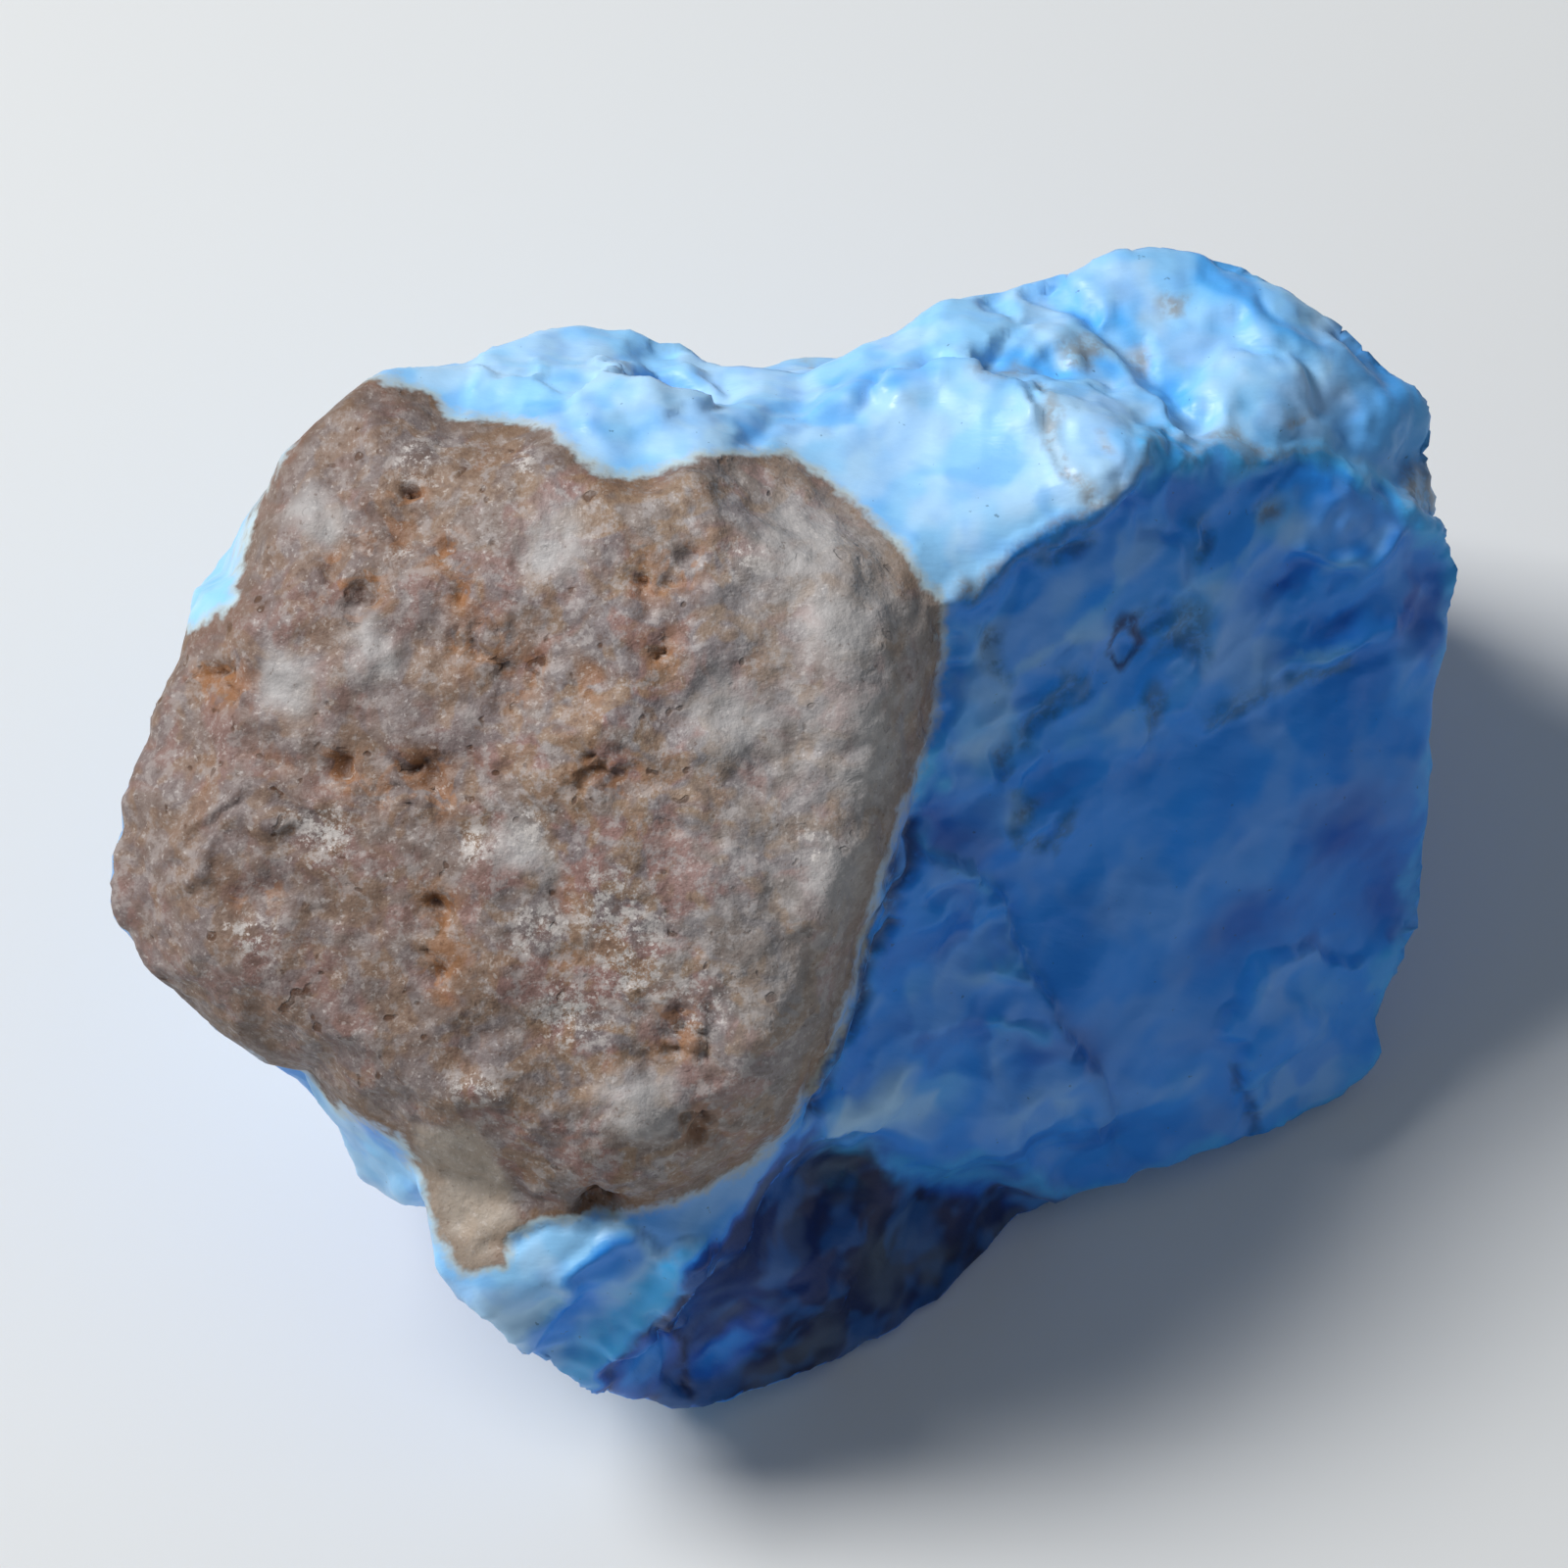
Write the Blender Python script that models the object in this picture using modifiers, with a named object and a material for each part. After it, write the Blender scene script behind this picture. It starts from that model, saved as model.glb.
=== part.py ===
"""A rough blue opal: one broken lump of milky blue opal with a patch of tan rind.

The stone is one natural piece, so it is one object. It is built as a quarry would
leave it: a few blocks with flat broken faces are joined, curved flakes are struck
off them, and the lump is then worn, dented and set down on its flat underside.

The blocks are drawn as the stone is looked at, from the front and above. Their
corners are (right, up, near) in millimetres from the middle of that view, with
near pointing at the viewer. An empty turns the whole stone from there to its own
frame, in metres with +Z up, resting on z = 0 with its footprint centred.
"""

import math

import bmesh
import bpy
from mathutils import Matrix, Vector

MM = 0.001

# How the view is turned, and where its middle lies over the footprint on the table
VIEW_ELEVATION = math.radians(60.0)
VIEW_MIDDLE = Vector((-0.81, -11.17, 37.2)) * MM
TURN_UPRIGHT = Matrix.Rotation(math.pi / 2 - VIEW_ELEVATION, 4, "X")
TABLE_SIZE = 160.0 * MM

# How finely the stone is worked
GRAIN = 0.55 * MM
WORN_PASSES = 2
FINISHED_SHARE = 0.108

# How the surface swells and sinks: height and size of each kind of unevenness
BULGES = (1.3 * MM, 9.0 * MM)
CHIPS = (0.5 * MM, 3.4 * MM)
RIND_LUMPS = (0.6 * MM, 2.8 * MM)
RIND_REACH = 2.2 * MM

# The opal's own look in this plain model
OPAL_BLUE = (0.30, 0.52, 0.80, 1.0)
OPAL_ROUGHNESS = 0.35

# The front block: the rind's level top, its worn rim, and the left and top edges of the opal under it
RIND_TOP = [
    (-18.1, 15.9, -4.5), (-23.6, 8.2, -4.5), (-27.2, -2.3, -5.0), (-26.3, -8.2, -5.0),
    (-17.2, -14.0, -4.0), (-8.1, -17.2, -3.5), (-1.8, -14.0, -2.5), (1.8, -6.8, -1.5),
    (4.5, 2.3, -1.0), (4.5, 8.1, -1.0), (-0.9, 13.1, -1.0), (-7.2, 11.7, -0.8), (-9.0, 2.2, 0.0),
]
RIND_RIM = [
    (-19.3, 18.9, -7.0), (-23.5, 15.3, -7.5), (-24.5, 13.2, -8.0), (-28.3, 5.5, -8.5),
    (-30.6, 0.0, -8.5), (-31.2, -5.3, -9.0), (-29.7, -9.1, -9.0), (-26.9, -11.4, -9.0),
    (-22.8, -13.9, -9.0), (-16.9, -16.9, -8.5), (-9.1, -19.8, -8.0), (-4.6, -18.8, -7.5),
    (0.0, -16.2, -8.0), (1.6, -14.1, -8.0), (3.6, -8.2, -6.0), (4.8, -3.2, -5.5),
    (6.1, 0.0, -5.0), (6.9, 3.2, -4.5), (7.3, 7.2, -3.5), (4.5, 12.0, -3.5), (0.0, 15.2, -3.5),
]
LEFT_SIDE = [
    (-27.7, 9.2, -15.0), (-28.3, 6.4, -14.0), (-26.5, 10.6, -15.0), (-24.6, -13.4, -13.0),
    (-22.1, -15.2, -15.0), (-21.1, -16.9, -17.0), (-19.9, -18.8, -18.0), (-17.8, -20.5, -18.0),
]
TOP_BAND = [
    (-18.3, 19.9, -10.0), (-15.1, 20.2, -12.0), (-11.7, 21.4, -14.0), (-9.7, 21.8, -15.0),
    (-7.4, 21.6, -15.0), (-4.6, 20.7, -15.0), (-2.8, 20.0, -14.0), (0.6, 19.9, -14.0),
]
FRONT_BACK = [
    (-25.0, 3.0, -30.0), (-20.0, -12.0, -32.0), (-14.0, 14.0, -38.0), (-6.0, 16.0, -42.0),
    (-16.0, -16.0, -35.8), (-14.0, 1.3, -45.8), (2.0, 8.2, -49.8), (2.0, -20.0, -34.0),
]

# The right-hand block: the corners of its one large broken face, then its hidden back
RIGHT_FACE = [
    (7.6, 8.5, -3.5), (11.3, 10.5, -5.0), (13.6, 12.5, -6.0), (15.9, 14.3, -7.0),
    (18.0, 15.7, -8.0), (22.0, 15.1, -11.0), (26.7, 14.3, -14.0), (30.1, 12.7, -17.0),
    (32.2, 11.4, -19.3), (32.8, 10.0, -20.3), (32.1, 7.4, -21.5), (31.5, 1.9, -23.0), (31.4, -2.3, -25.0),
    (30.6, -6.1, -27.0), (29.1, -9.4, -28.0), (28.9, -13.5, -30.0), (27.0, -15.6, -31.0),
    (23.2, -17.1, -30.0), (17.9, -19.1, -28.0), (14.1, -19.8, -26.0), (9.3, -18.2, -22.0),
    (6.0, -18.1, -19.0), (2.3, -16.6, -15.0), (1.7, -14.7, -13.0), (3.2, -9.6, -11.8),
    (4.3, -4.6, -9.4), (5.7, -1.6, -8.6),
]
RIGHT_BACK = [
    (28.0, 8.0, -40.0), (29.0, -2.0, -40.0), (6.0, 14.0, -30.0), (0.0, 0.0, -40.0),
    (8.0, -17.0, -34.0), (21.0, -16.5, -35.5), (25.5, -7.4, -40.8), (20.0, 4.7, -47.8),
    (2.0, 8.2, -49.8),
]

# The lobe behind it on the right
LOBE_EDGE = [
    (1.4, 20.1, -15.0), (4.6, 21.7, -16.0), (11.1, 23.8, -16.0), (14.8, 25.4, -16.5),
    (17.6, 25.9, -17.5), (21.4, 25.1, -18.0), (25.8, 22.9, -17.8), (29.5, 20.0, -17.8),
    (31.4, 17.4, -18.4), (31.5, 15.5, -19.2), (31.2, 12.8, -21.0), (18.4, 20.9, -12.0),
    (23.1, 21.7, -13.6), (18.3, 17.4, -10.0), (23.0, 16.5, -12.2), (27.6, 18.5, -15.4),
    (29.3, 14.1, -17.6),
]
LOBE_BACK = [
    (-2.0, 12.0, -30.0), (4.0, 16.0, -45.0), (14.0, 17.0, -50.0), (24.0, 14.0, -48.0),
    (8.0, 8.0, -50.0), (20.0, 4.0, -48.0),
]

# The lobe that hangs below the rind and carries the stone at the front
FOOT_EDGE = [
    (-16.9, -20.5, -12.0), (-16.8, -22.2, -11.0), (-14.3, -25.2, -11.3), (-12.8, -26.1, -12.5),
    (-10.4, -28.2, -16.5), (-8.2, -29.0, -19.5), (-4.9, -29.8, -22.0), (-1.9, -29.4, -23.5),
    (0.1, -28.5, -25.0), (2.7, -28.1, -26.0), (7.1, -24.5, -29.0), (10.2, -22.0, -31.0),
    (12.0, -20.5, -32.0),
    # the bright front facet, and the two ridges that run down across the lobe
    (-16.9, -18.3, -10.5), (-13.3, -22.4, -9.6), (-11.0, -20.3, -9.0), (-7.3, -20.1, -8.8),
    (-4.6, -19.3, -8.7), (1.4, -16.1, -13.0), (-11.8, -24.7, -11.0), (-9.3, -22.4, -9.7),
    (-7.3, -20.9, -9.0), (-9.6, -28.2, -17.5), (-7.4, -26.3, -15.0), (-5.3, -24.3, -12.8),
    (-4.1, -22.0, -11.0),
]
FOOT_BACK = [
    (-14.0, -18.0, -30.0), (-10.0, -24.0, -31.2), (5.0, -25.0, -30.6), (15.0, -18.0, -34.7),
    (-10.0, -10.0, -36.0), (0.0, -5.0, -30.0),
]

# The mass behind and under all of these, out of sight
CORE = [
    (-16.0, -16.0, -35.8), (5.0, -25.0, -30.6), (15.0, -18.0, -34.7), (21.0, -16.5, -35.5),
    (25.5, -7.4, -40.8), (20.0, 4.7, -47.8), (2.0, 8.2, -49.8), (-14.0, 1.3, -45.8),
    (-6.0, 16.0, -42.0), (-12.0, 15.0, -34.0), (14.0, 17.0, -50.0), (0.6, 19.3, -17.5),
    (8.0, 20.5, -30.0), (-8.0, 19.8, -22.0), (14.0, 22.0, -30.0), (30.6, 12.3, -23.5),
    (29.5, 9.5, -38.0), (25.0, 14.0, -46.0), (28.5, 14.5, -32.0),
]

# The rounded ledge that stands up in the opal just above the rind
DOME = [
    (-10.4, 17.6, -6.5), (-8.9, 18.9, -8.5), (-7.0, 19.4, -9.0), (-4.1, 19.6, -9.5),
    (-2.7, 18.5, -9.0), (-2.9, 17.4, -7.0), (-5.0, 16.3, -4.5), (-7.2, 15.8, -4.0),
    (-9.1, 16.6, -4.6), (-6.4, 17.7, -5.2), (-7.0, 18.5, -18.0), (-8.3, 17.0, -14.0), (-3.7, 18.5, -15.0),
]

# The saddle between the rind and the two right-hand blocks: a bright facet, the ridge and the knob on it
SADDLE = [
    (-0.9, 20.0, -14.0), (2.3, 20.4, -14.0), (4.6, 21.6, -14.0), (7.4, 23.2, -15.0),
    (11.1, 23.8, -16.0), (0.0, 15.2, -3.2), (2.3, 13.8, -3.0), (4.5, 11.8, -3.0),
    (6.6, 9.0, -3.3), (7.2, 8.1, -3.4), (9.8, 10.2, -4.2), (12.1, 11.2, -4.8),
    (14.0, 12.3, -5.4), (16.4, 14.6, -6.2), (17.3, 15.9, -6.6), (19.3, 15.2, -8.5),
    (22.6, 15.7, -11.0), (24.8, 15.1, -13.0), (27.3, 14.4, -15.0), (29.2, 13.4, -17.0),
    (30.5, 12.3, -18.5), (12.9, 17.3, -5.8), (15.0, 18.8, -6.6), (11.9, 21.5, -11.0),
    (6.0, 2.0, -20.0), (24.0, 8.0, -28.0), (2.0, 12.0, -30.0), (22.0, 14.0, -30.0),
]

# The knob on that ridge, and two flat flakes that stand a little proud of the large broken face
KNOB = [
    (13.1, 18.0, -6.6), (13.4, 15.2, -5.2), (14.0, 12.9, -4.9), (15.9, 13.6, -5.4),
    (17.1, 15.4, -6.4), (17.5, 17.1, -7.2), (16.4, 18.8, -8.0), (14.4, 19.2, -8.0),
    (14.8, 17.2, -5.2), (15.2, 15.4, -4.7), (15.2, 16.5, -13.0),
]
FACE_FLAKE = [
    (6.4, -3.4, -9.6), (9.6, -4.5, -12.5), (11.5, -8.2, -16.2), (13.7, -12.0, -20.1),
    (16.2, -16.9, -25.0), (21.2, -14.1, -26.8), (23.4, -8.7, -24.9), (28.7, -6.6, -27.3),
    (30.0, 0.0, -24.1), (29.8, 5.1, -20.7), (22.0, 3.4, -16.3), (15.6, 1.8, -12.8),
    (11.4, 0.3, -10.8), (7.4, -3.7, -16.6), (16.1, -15.1, -30.0), (28.5, -6.2, -33.1),
    (29.6, 4.7, -27.0),
]
FACE_FLAKE_TOP = [
    (11.8, 8.6, -5.9), (15.9, 11.6, -6.9), (19.7, 11.0, -10.0), (22.6, 7.4, -14.3),
    (20.3, 4.6, -14.4), (15.6, 2.8, -12.3), (11.9, 4.6, -8.5), (16.0, 7.0, -16.0),
]

# Curved flakes struck off: (where, the way the scar faces, its radius, how deep it goes), in millimetres
SCARS = {
    "bright_facet": ((8.9, 15.0, -6.0), (-0.10, 0.62, 0.78), 21.0, 0.8),
    "rind_bay_right": ((1.5, 17.0, -5.5), (0.1, 0.75, 0.66), 14.0, 0.6),
    "rind_bay_left": ((-13.8, 18.0, -7.0), (-0.1, 0.72, 0.69), 14.0, 0.6),
    "rind_bay_middle": ((-6.9, 14.6, -3.0), (0.0, 0.75, 0.66), 5.0, 0.7),
    "ledge_hollow": ((-5.5, 20.0, -13.3), (0.20, 0.60, 0.77), 5.0, 0.6),
    "valley": ((18.6, 18.8, -10.0), (0.35, 0.35, 0.87), 5.5, 1.5),
    "valley_end": ((13.0, 21.0, -11.0), (-0.1, 0.6, 0.8), 5.0, 1.4),
    "lobe_right": ((28.6, 17.8, -15.9), (0.50, 0.28, 0.82), 24.0, 0.35),
    "lobe_top": ((19.0, 23.6, -15.5), (0.05, 0.55, 0.83), 18.0, 0.7),
    "lobe_near": ((23.0, 19.0, -12.5), (0.35, 0.25, 0.90), 12.0, 0.5),
    "lobe_channel": ((16.2, 21.8, -12.6), (0.15, 0.50, 0.85), 4.5, 0.8),
    "face_hollow_top": ((24.0, 9.0, -14.0), (0.51, -0.46, 0.73), 13.0, 0.9),
    "face_hollow_low": ((10.5, -6.5, -14.3), (0.51, -0.46, 0.73), 12.0, 0.8),
    "face_hollow_side": ((27.0, -7.0, -26.0), (0.60, -0.46, 0.65), 18.0, 0.6),
    "face_corner": ((25.5, -13.0, -29.0), (0.62, -0.52, 0.58), 16.0, 0.6),
    "face_foot": ((14.0, -17.5, -25.0), (0.25, -0.80, 0.54), 12.0, 0.8),
    "left_notch": ((-18.2, -20.6, -15.0), (-0.62, -0.78, 0.1), 5.0, 1.1),
    "undercut_right": ((9.5, -19.3, -24.5), (0.05, -0.85, 0.53), 5.0, 1.0),
    "undercut_left": ((3.8, -17.6, -18.0), (0.10, -0.75, 0.65), 6.0, 0.6),
    "foot_dark_side": ((1.5, -24.5, -19.5), (0.30, -0.75, 0.59), 24.0, 1.0),
    "foot_stripe": ((-8.3, -25.3, -13.6), (-0.05, -0.72, 0.69), 9.0, 0.35),
    "left_flank": ((-26.5, -3.0, -19.0), (-0.93, 0.05, -0.35), 38.0, 1.0),
    "left_front": ((-19.0, -18.0, -26.0), (-0.72, -0.55, -0.42), 26.0, 0.9),
    "back_left": ((-15.0, 14.5, -30.0), (-0.50, 0.80, -0.33), 40.0, 1.2),
    "back_right": ((12.0, 20.5, -38.0), (0.10, 0.90, -0.42), 45.0, 1.3),
    "back_end": ((29.0, 14.0, -36.0), (0.80, 0.50, -0.33), 24.0, 1.0),
    "far_side": ((29.0, 0.0, -35.0), (0.92, -0.25, -0.30), 24.0, 1.1),
}


def block(name, corners, home):
    """A rough block: the convex hull of its corners, given in millimetres."""
    mesh = bpy.data.meshes.new(name)
    form = bmesh.new()
    for corner in corners:
        form.verts.new(Vector(corner) * MM)
    hull = bmesh.ops.convex_hull(form, input=form.verts)
    inside = [item for item in hull["geom_interior"] if isinstance(item, bmesh.types.BMVert)]
    bmesh.ops.delete(form, geom=inside, context="VERTS")
    bmesh.ops.recalc_face_normals(form, faces=form.faces)
    form.to_mesh(mesh)
    form.free()
    made = bpy.data.objects.new(name, mesh)
    home.objects.link(made)
    return made


def scar(name, where, facing, radius, depth, home):
    """A ball that bites a shallow dish out of the stone: one struck flake."""
    mesh = bpy.data.meshes.new(name)
    form = bmesh.new()
    bmesh.ops.create_icosphere(form, subdivisions=4, radius=radius * MM)
    form.to_mesh(mesh)
    form.free()
    made = bpy.data.objects.new(name, mesh)
    made.location = (Vector(where) + Vector(facing).normalized() * (radius - depth)) * MM
    home.objects.link(made)
    return made


def table_block(home):
    """The box whose top is the table: what would sink into it is broken off flat."""
    mesh = bpy.data.meshes.new("table")
    form = bmesh.new()
    bmesh.ops.create_cube(form, size=TABLE_SIZE)
    form.to_mesh(mesh)
    form.free()
    made = bpy.data.objects.new("table", mesh)
    made.location.z = -TABLE_SIZE / 2
    home.objects.link(made)
    return made


def helper(made):
    """Keeps an object out of the render: it only joins, cuts or steers the stone."""
    made.hide_render = True
    made.display_type = "WIRE"
    return made


def boolean(target, other, operation):
    step = target.modifiers.new(other.name, "BOOLEAN")
    step.operation = operation
    step.solver = "EXACT"
    step.object = other


def uneven(target, name, kind, height_and_size, group=""):
    """Raises and sinks the surface by a smooth noise of this height and size."""
    height, size = height_and_size
    noise = bpy.data.textures.new(name, kind)
    noise.noise_scale = size
    if kind == "CLOUDS":
        noise.noise_depth = 2
    step = target.modifiers.new(name, "DISPLACE")
    step.texture = noise
    step.texture_coords = "LOCAL"
    step.strength = height
    step.mid_level = 0.5
    step.vertex_group = group


def rind_weights(target, patch):
    """A vertex group that is full over the rind and fades out beside it."""
    group = target.vertex_groups.new(name="rind")
    fill = target.modifiers.new("rind_everywhere", "VERTEX_WEIGHT_EDIT")
    fill.vertex_group = group.name
    fill.use_add = True
    fill.add_threshold = 0.0
    fill.default_weight = 1.0
    near = target.modifiers.new("rind_only_near_patch", "VERTEX_WEIGHT_PROXIMITY")
    near.vertex_group = group.name
    near.target = patch
    near.proximity_mode = "GEOMETRY"
    near.proximity_geometry = {"FACE"}
    near.min_dist = RIND_REACH
    near.max_dist = 0.0
    return group.name


def opal_material():
    made = bpy.data.materials.new("blue_opal")
    made.use_nodes = True
    shader = made.node_tree.nodes["Principled BSDF"]
    shader.inputs["Base Color"].default_value = OPAL_BLUE
    shader.inputs["Roughness"].default_value = OPAL_ROUGHNESS
    made.diffuse_color = OPAL_BLUE
    return made


def main():
    for old in list(bpy.data.objects):
        bpy.data.objects.remove(old)
    parts = bpy.data.collections.new("blue_opal")
    cutters = bpy.data.collections.new("blue_opal_cutters")
    for collection in (parts, cutters):
        bpy.context.scene.collection.children.link(collection)

    front = RIND_TOP + RIND_RIM + LEFT_SIDE + TOP_BAND + FRONT_BACK
    stone = block("blue_opal", front, parts)
    stone.data.materials.append(opal_material())
    for name, corners in (
        ("saddle_block", SADDLE),
        ("core", CORE),
        ("dome_ledge", DOME),
        ("knob", KNOB),
        ("face_flake", FACE_FLAKE),
        ("face_flake_top", FACE_FLAKE_TOP),
        ("right_block", RIGHT_FACE + RIGHT_BACK),
        ("far_lobe", LOBE_EDGE + LOBE_BACK),
        ("foot_lobe", FOOT_EDGE + FOOT_BACK),
    ):
        boolean(stone, helper(block(name, corners, cutters)), "UNION")
    for name, (where, facing, radius, depth) in SCARS.items():
        boolean(stone, helper(scar(name, where, facing, radius, depth, cutters)), "DIFFERENCE")

    remesh = stone.modifiers.new("even_grain", "REMESH")
    remesh.mode = "VOXEL"
    remesh.voxel_size = GRAIN
    remesh.use_smooth_shade = True
    worn = stone.modifiers.new("worn", "SMOOTH")
    worn.factor = 0.6
    worn.iterations = WORN_PASSES
    rind = rind_weights(stone, helper(block("rind_patch", RIND_TOP, cutters)))
    uneven(stone, "bulges", "CLOUDS", BULGES)
    uneven(stone, "chips", "CLOUDS", CHIPS)
    uneven(stone, "rind_lumps", "CLOUDS", RIND_LUMPS, rind)
    finish = stone.modifiers.new("finished_mesh", "DECIMATE")
    finish.ratio = FINISHED_SHARE

    upright = bpy.data.objects.new("stone_upright", None)
    parts.objects.link(upright)
    upright.matrix_world = Matrix.Translation(VIEW_MIDDLE) @ TURN_UPRIGHT
    for piece in list(parts.objects) + list(cutters.objects):
        if piece is not upright:
            piece.parent = upright
    boolean(stone, helper(table_block(cutters)), "DIFFERENCE")


main()
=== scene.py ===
# %% [markdown]
# # A rough blue opal with its rind
#
# This notebook dresses one broken lump of milky blue opal. The lump is about the size of a small
# plum. A weathered tan rind covers its top left, a big flat fracture faces right, a ridge with a
# knob runs between two blocks, and a foot lobe carries the stone at the front.
#
# The plain solid already exists as a fixed frame. Here we copy it, give the copy a fine mesh,
# work the small ledges, pits and cracks into it, and paint it with one procedural material.

# %% Load the frame and keep its box
import itertools
import math

import bpy
import numpy as np
from mathutils import Matrix, Vector, noise


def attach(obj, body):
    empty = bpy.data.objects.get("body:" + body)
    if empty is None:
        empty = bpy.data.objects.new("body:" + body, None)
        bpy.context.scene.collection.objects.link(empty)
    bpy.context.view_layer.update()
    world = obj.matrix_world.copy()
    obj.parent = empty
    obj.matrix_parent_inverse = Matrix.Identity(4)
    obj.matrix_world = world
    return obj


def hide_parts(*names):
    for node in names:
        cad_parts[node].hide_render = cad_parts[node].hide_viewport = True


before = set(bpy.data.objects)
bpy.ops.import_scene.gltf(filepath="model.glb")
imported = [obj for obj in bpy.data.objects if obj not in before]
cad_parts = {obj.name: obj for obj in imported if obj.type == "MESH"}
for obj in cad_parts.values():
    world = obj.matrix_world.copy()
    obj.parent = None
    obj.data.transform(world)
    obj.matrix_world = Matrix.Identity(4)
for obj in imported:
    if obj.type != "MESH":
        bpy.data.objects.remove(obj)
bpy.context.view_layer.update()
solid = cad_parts["blue_opal"]

# %% [markdown]
# ## Look at the stone from one place
#
# Everything on a broken stone is placed one by one, so we first fix where the eye is: in front, 60
# degrees above the table. All drawing below is done on a flat sheet that stands square to that
# view, with its zero in the middle of the picture. "Right" and "up" on the sheet are millimetres,
# and "near" is how far a point lies in front of the sheet.

# %% The view, and moving between it and the stone
MM = 0.001
VIEW_ELEVATION = math.radians(60.0)
VIEW_MIDDLE = Vector((-0.81, -11.17, 37.2)) * MM
EYE_DISTANCE = 600.0

UPRIGHT = Matrix.Translation(VIEW_MIDDLE) @ Matrix.Rotation(math.pi / 2 - VIEW_ELEVATION, 4, "X")
TURN = np.array(UPRIGHT.to_3x3())
MIDDLE = np.array(VIEW_MIDDLE)


def to_view(points):
    """Metres in the stone's frame to millimetres (right, up, near) in the view."""
    return (points - MIDDLE) @ TURN / MM


def to_stone(seen):
    """Millimetres in the view back to metres in the stone's frame."""
    return seen @ TURN.T * MM + MIDDLE


def on_sheet(seen):
    """Where each point appears on the flat drawing sheet, in millimetres."""
    return seen[:, :2] * (EYE_DISTANCE / (EYE_DISTANCE - seen[:, 2]))[:, None]


print("the eye is", EYE_DISTANCE, "mm from the sheet")

# %% [markdown]
# ## A fine skin for the stone
#
# The frame's solid has a few thousand loose triangles, good for weighing and stacking but too
# coarse for pits a millimetre wide. A voxel remesh turns a merged copy of it into even squares,
# and a short smoothing takes away the old facets. Only the side that shows its marks in the
# picture is then split once more, and the flat underside is thinned out. That puts the points
# where they are needed and keeps the rest light.

# %% Copy the solid and merge its triangles
bpy.ops.object.select_all(action="DESELECT")
stone = bpy.data.objects.new("opal_stone", solid.data.copy())
bpy.context.scene.collection.objects.link(stone)
bpy.context.view_layer.objects.active = stone
stone.select_set(True)
bpy.ops.object.mode_set(mode="EDIT")
bpy.ops.mesh.select_all(action="SELECT")
bpy.ops.mesh.remove_doubles(threshold=0.01 * MM)
bpy.ops.object.mode_set(mode="OBJECT")
print("merged copy:", len(stone.data.vertices), "points")

# %% A helper that adds a modifier, sets it and applies it


def apply_modifier(target, kind, **settings):
    step = target.modifiers.new(kind.lower(), kind)
    for name, value in settings.items():
        setattr(step, name, value)
    bpy.context.view_layer.objects.active = target
    bpy.ops.object.modifier_apply(modifier=step.name)


SKIN_SIZE = 0.55 * MM
apply_modifier(stone, "REMESH", mode="VOXEL", voxel_size=SKIN_SIZE, use_smooth_shade=True)
apply_modifier(stone, "SMOOTH", factor=0.5, iterations=4)
print("even skin:", len(stone.data.polygons), "squares")

# %% [markdown]
# ## Where the rind lies
#
# The rind is the opal's own weathered skin, about a millimetre thick. Its edge is not a shape that
# any formula gives, so it is walked round once as a closed line on the drawing sheet. Each
# point of the stone then gets its distance to that line. A distance is more useful than a yes or
# no: the material can turn it into a soft, wandering border of any width.

# %% Lines on the sheet, and distances to them
RIND_OUTLINE = [
    (-19.1, 18.7), (-16.2, 18.0), (-15.5, 16.9), (-12.2, 16.6), (-10.8, 16.2), (-9.4, 14.8),
    (-7.2, 13.9), (-4.5, 14.8), (-2.5, 15.2), (0.0, 15.1), (2.2, 13.7), (4.5, 11.7), (5.8, 9.9),
    (7.0, 8.5), (7.2, 6.3), (6.8, 2.7), (5.8, 0.0), (5.0, -2.2), (4.3, -4.5), (3.6, -6.8),
    (3.1, -9.4), (2.2, -11.7), (1.3, -13.5), (0.0, -15.8), (-1.8, -17.6), (-4.5, -18.9),
    (-6.8, -19.6), (-9.0, -19.6), (-10.8, -20.0), (-12.6, -20.7), (-13.0, -22.1), (-14.8, -22.3),
    (-16.0, -20.7), (-16.6, -18.0), (-17.6, -16.2), (-19.3, -15.3), (-22.5, -13.7), (-26.6, -11.2),
    (-33.0, -8.0), (-33.0, 2.0), (-28.8, 4.5), (-27.7, 6.8), (-25.2, 8.1), (-25.0, 10.3),
    (-24.1, 13.0), (-22.1, 16.6),
]


def line_distance(flat, path):
    """(distance, side, how far along) from each point of the sheet to a line of straight pieces."""
    best = np.full(len(flat), 1e9)
    side = np.zeros(len(flat))
    along = np.zeros(len(flat))
    lengths = [math.dist(a, b) for a, b in zip(path, path[1:])]
    for i, (start, end) in enumerate(zip(path, path[1:])):
        run = np.subtract(end, start)
        gap = flat - start
        t = (gap @ run / (run @ run)).clip(0, 1)
        away = np.linalg.norm(gap - t[:, None] * run, axis=1)
        closer = away < best
        best[closer] = away[closer]
        side[closer] = np.sign(run[0] * gap[:, 1] - run[1] * gap[:, 0])[closer]
        along[closer] = ((sum(lengths[:i]) + t * lengths[i]) / sum(lengths))[closer]
    return best, side, along


def inside(flat, outline):
    """True where a point of the sheet lies within a closed outline."""
    found = np.zeros(len(flat), bool)
    x, y = flat.T
    for (ax, ay), (bx, by) in zip(outline, outline[1:] + outline[:1]):
        crosses = (ay > y) != (by > y)
        at = ax + (y - ay) * (bx - ax) / ((by - ay) or 1e-9)
        found ^= crosses & (x < at)
    return found


def edge_distance(flat, outline):
    """Distance to a closed outline: above zero inside it, below zero outside."""
    away, _, _ = line_distance(flat, outline + outline[:1])
    return np.where(inside(flat, outline), away, -away)


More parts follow.
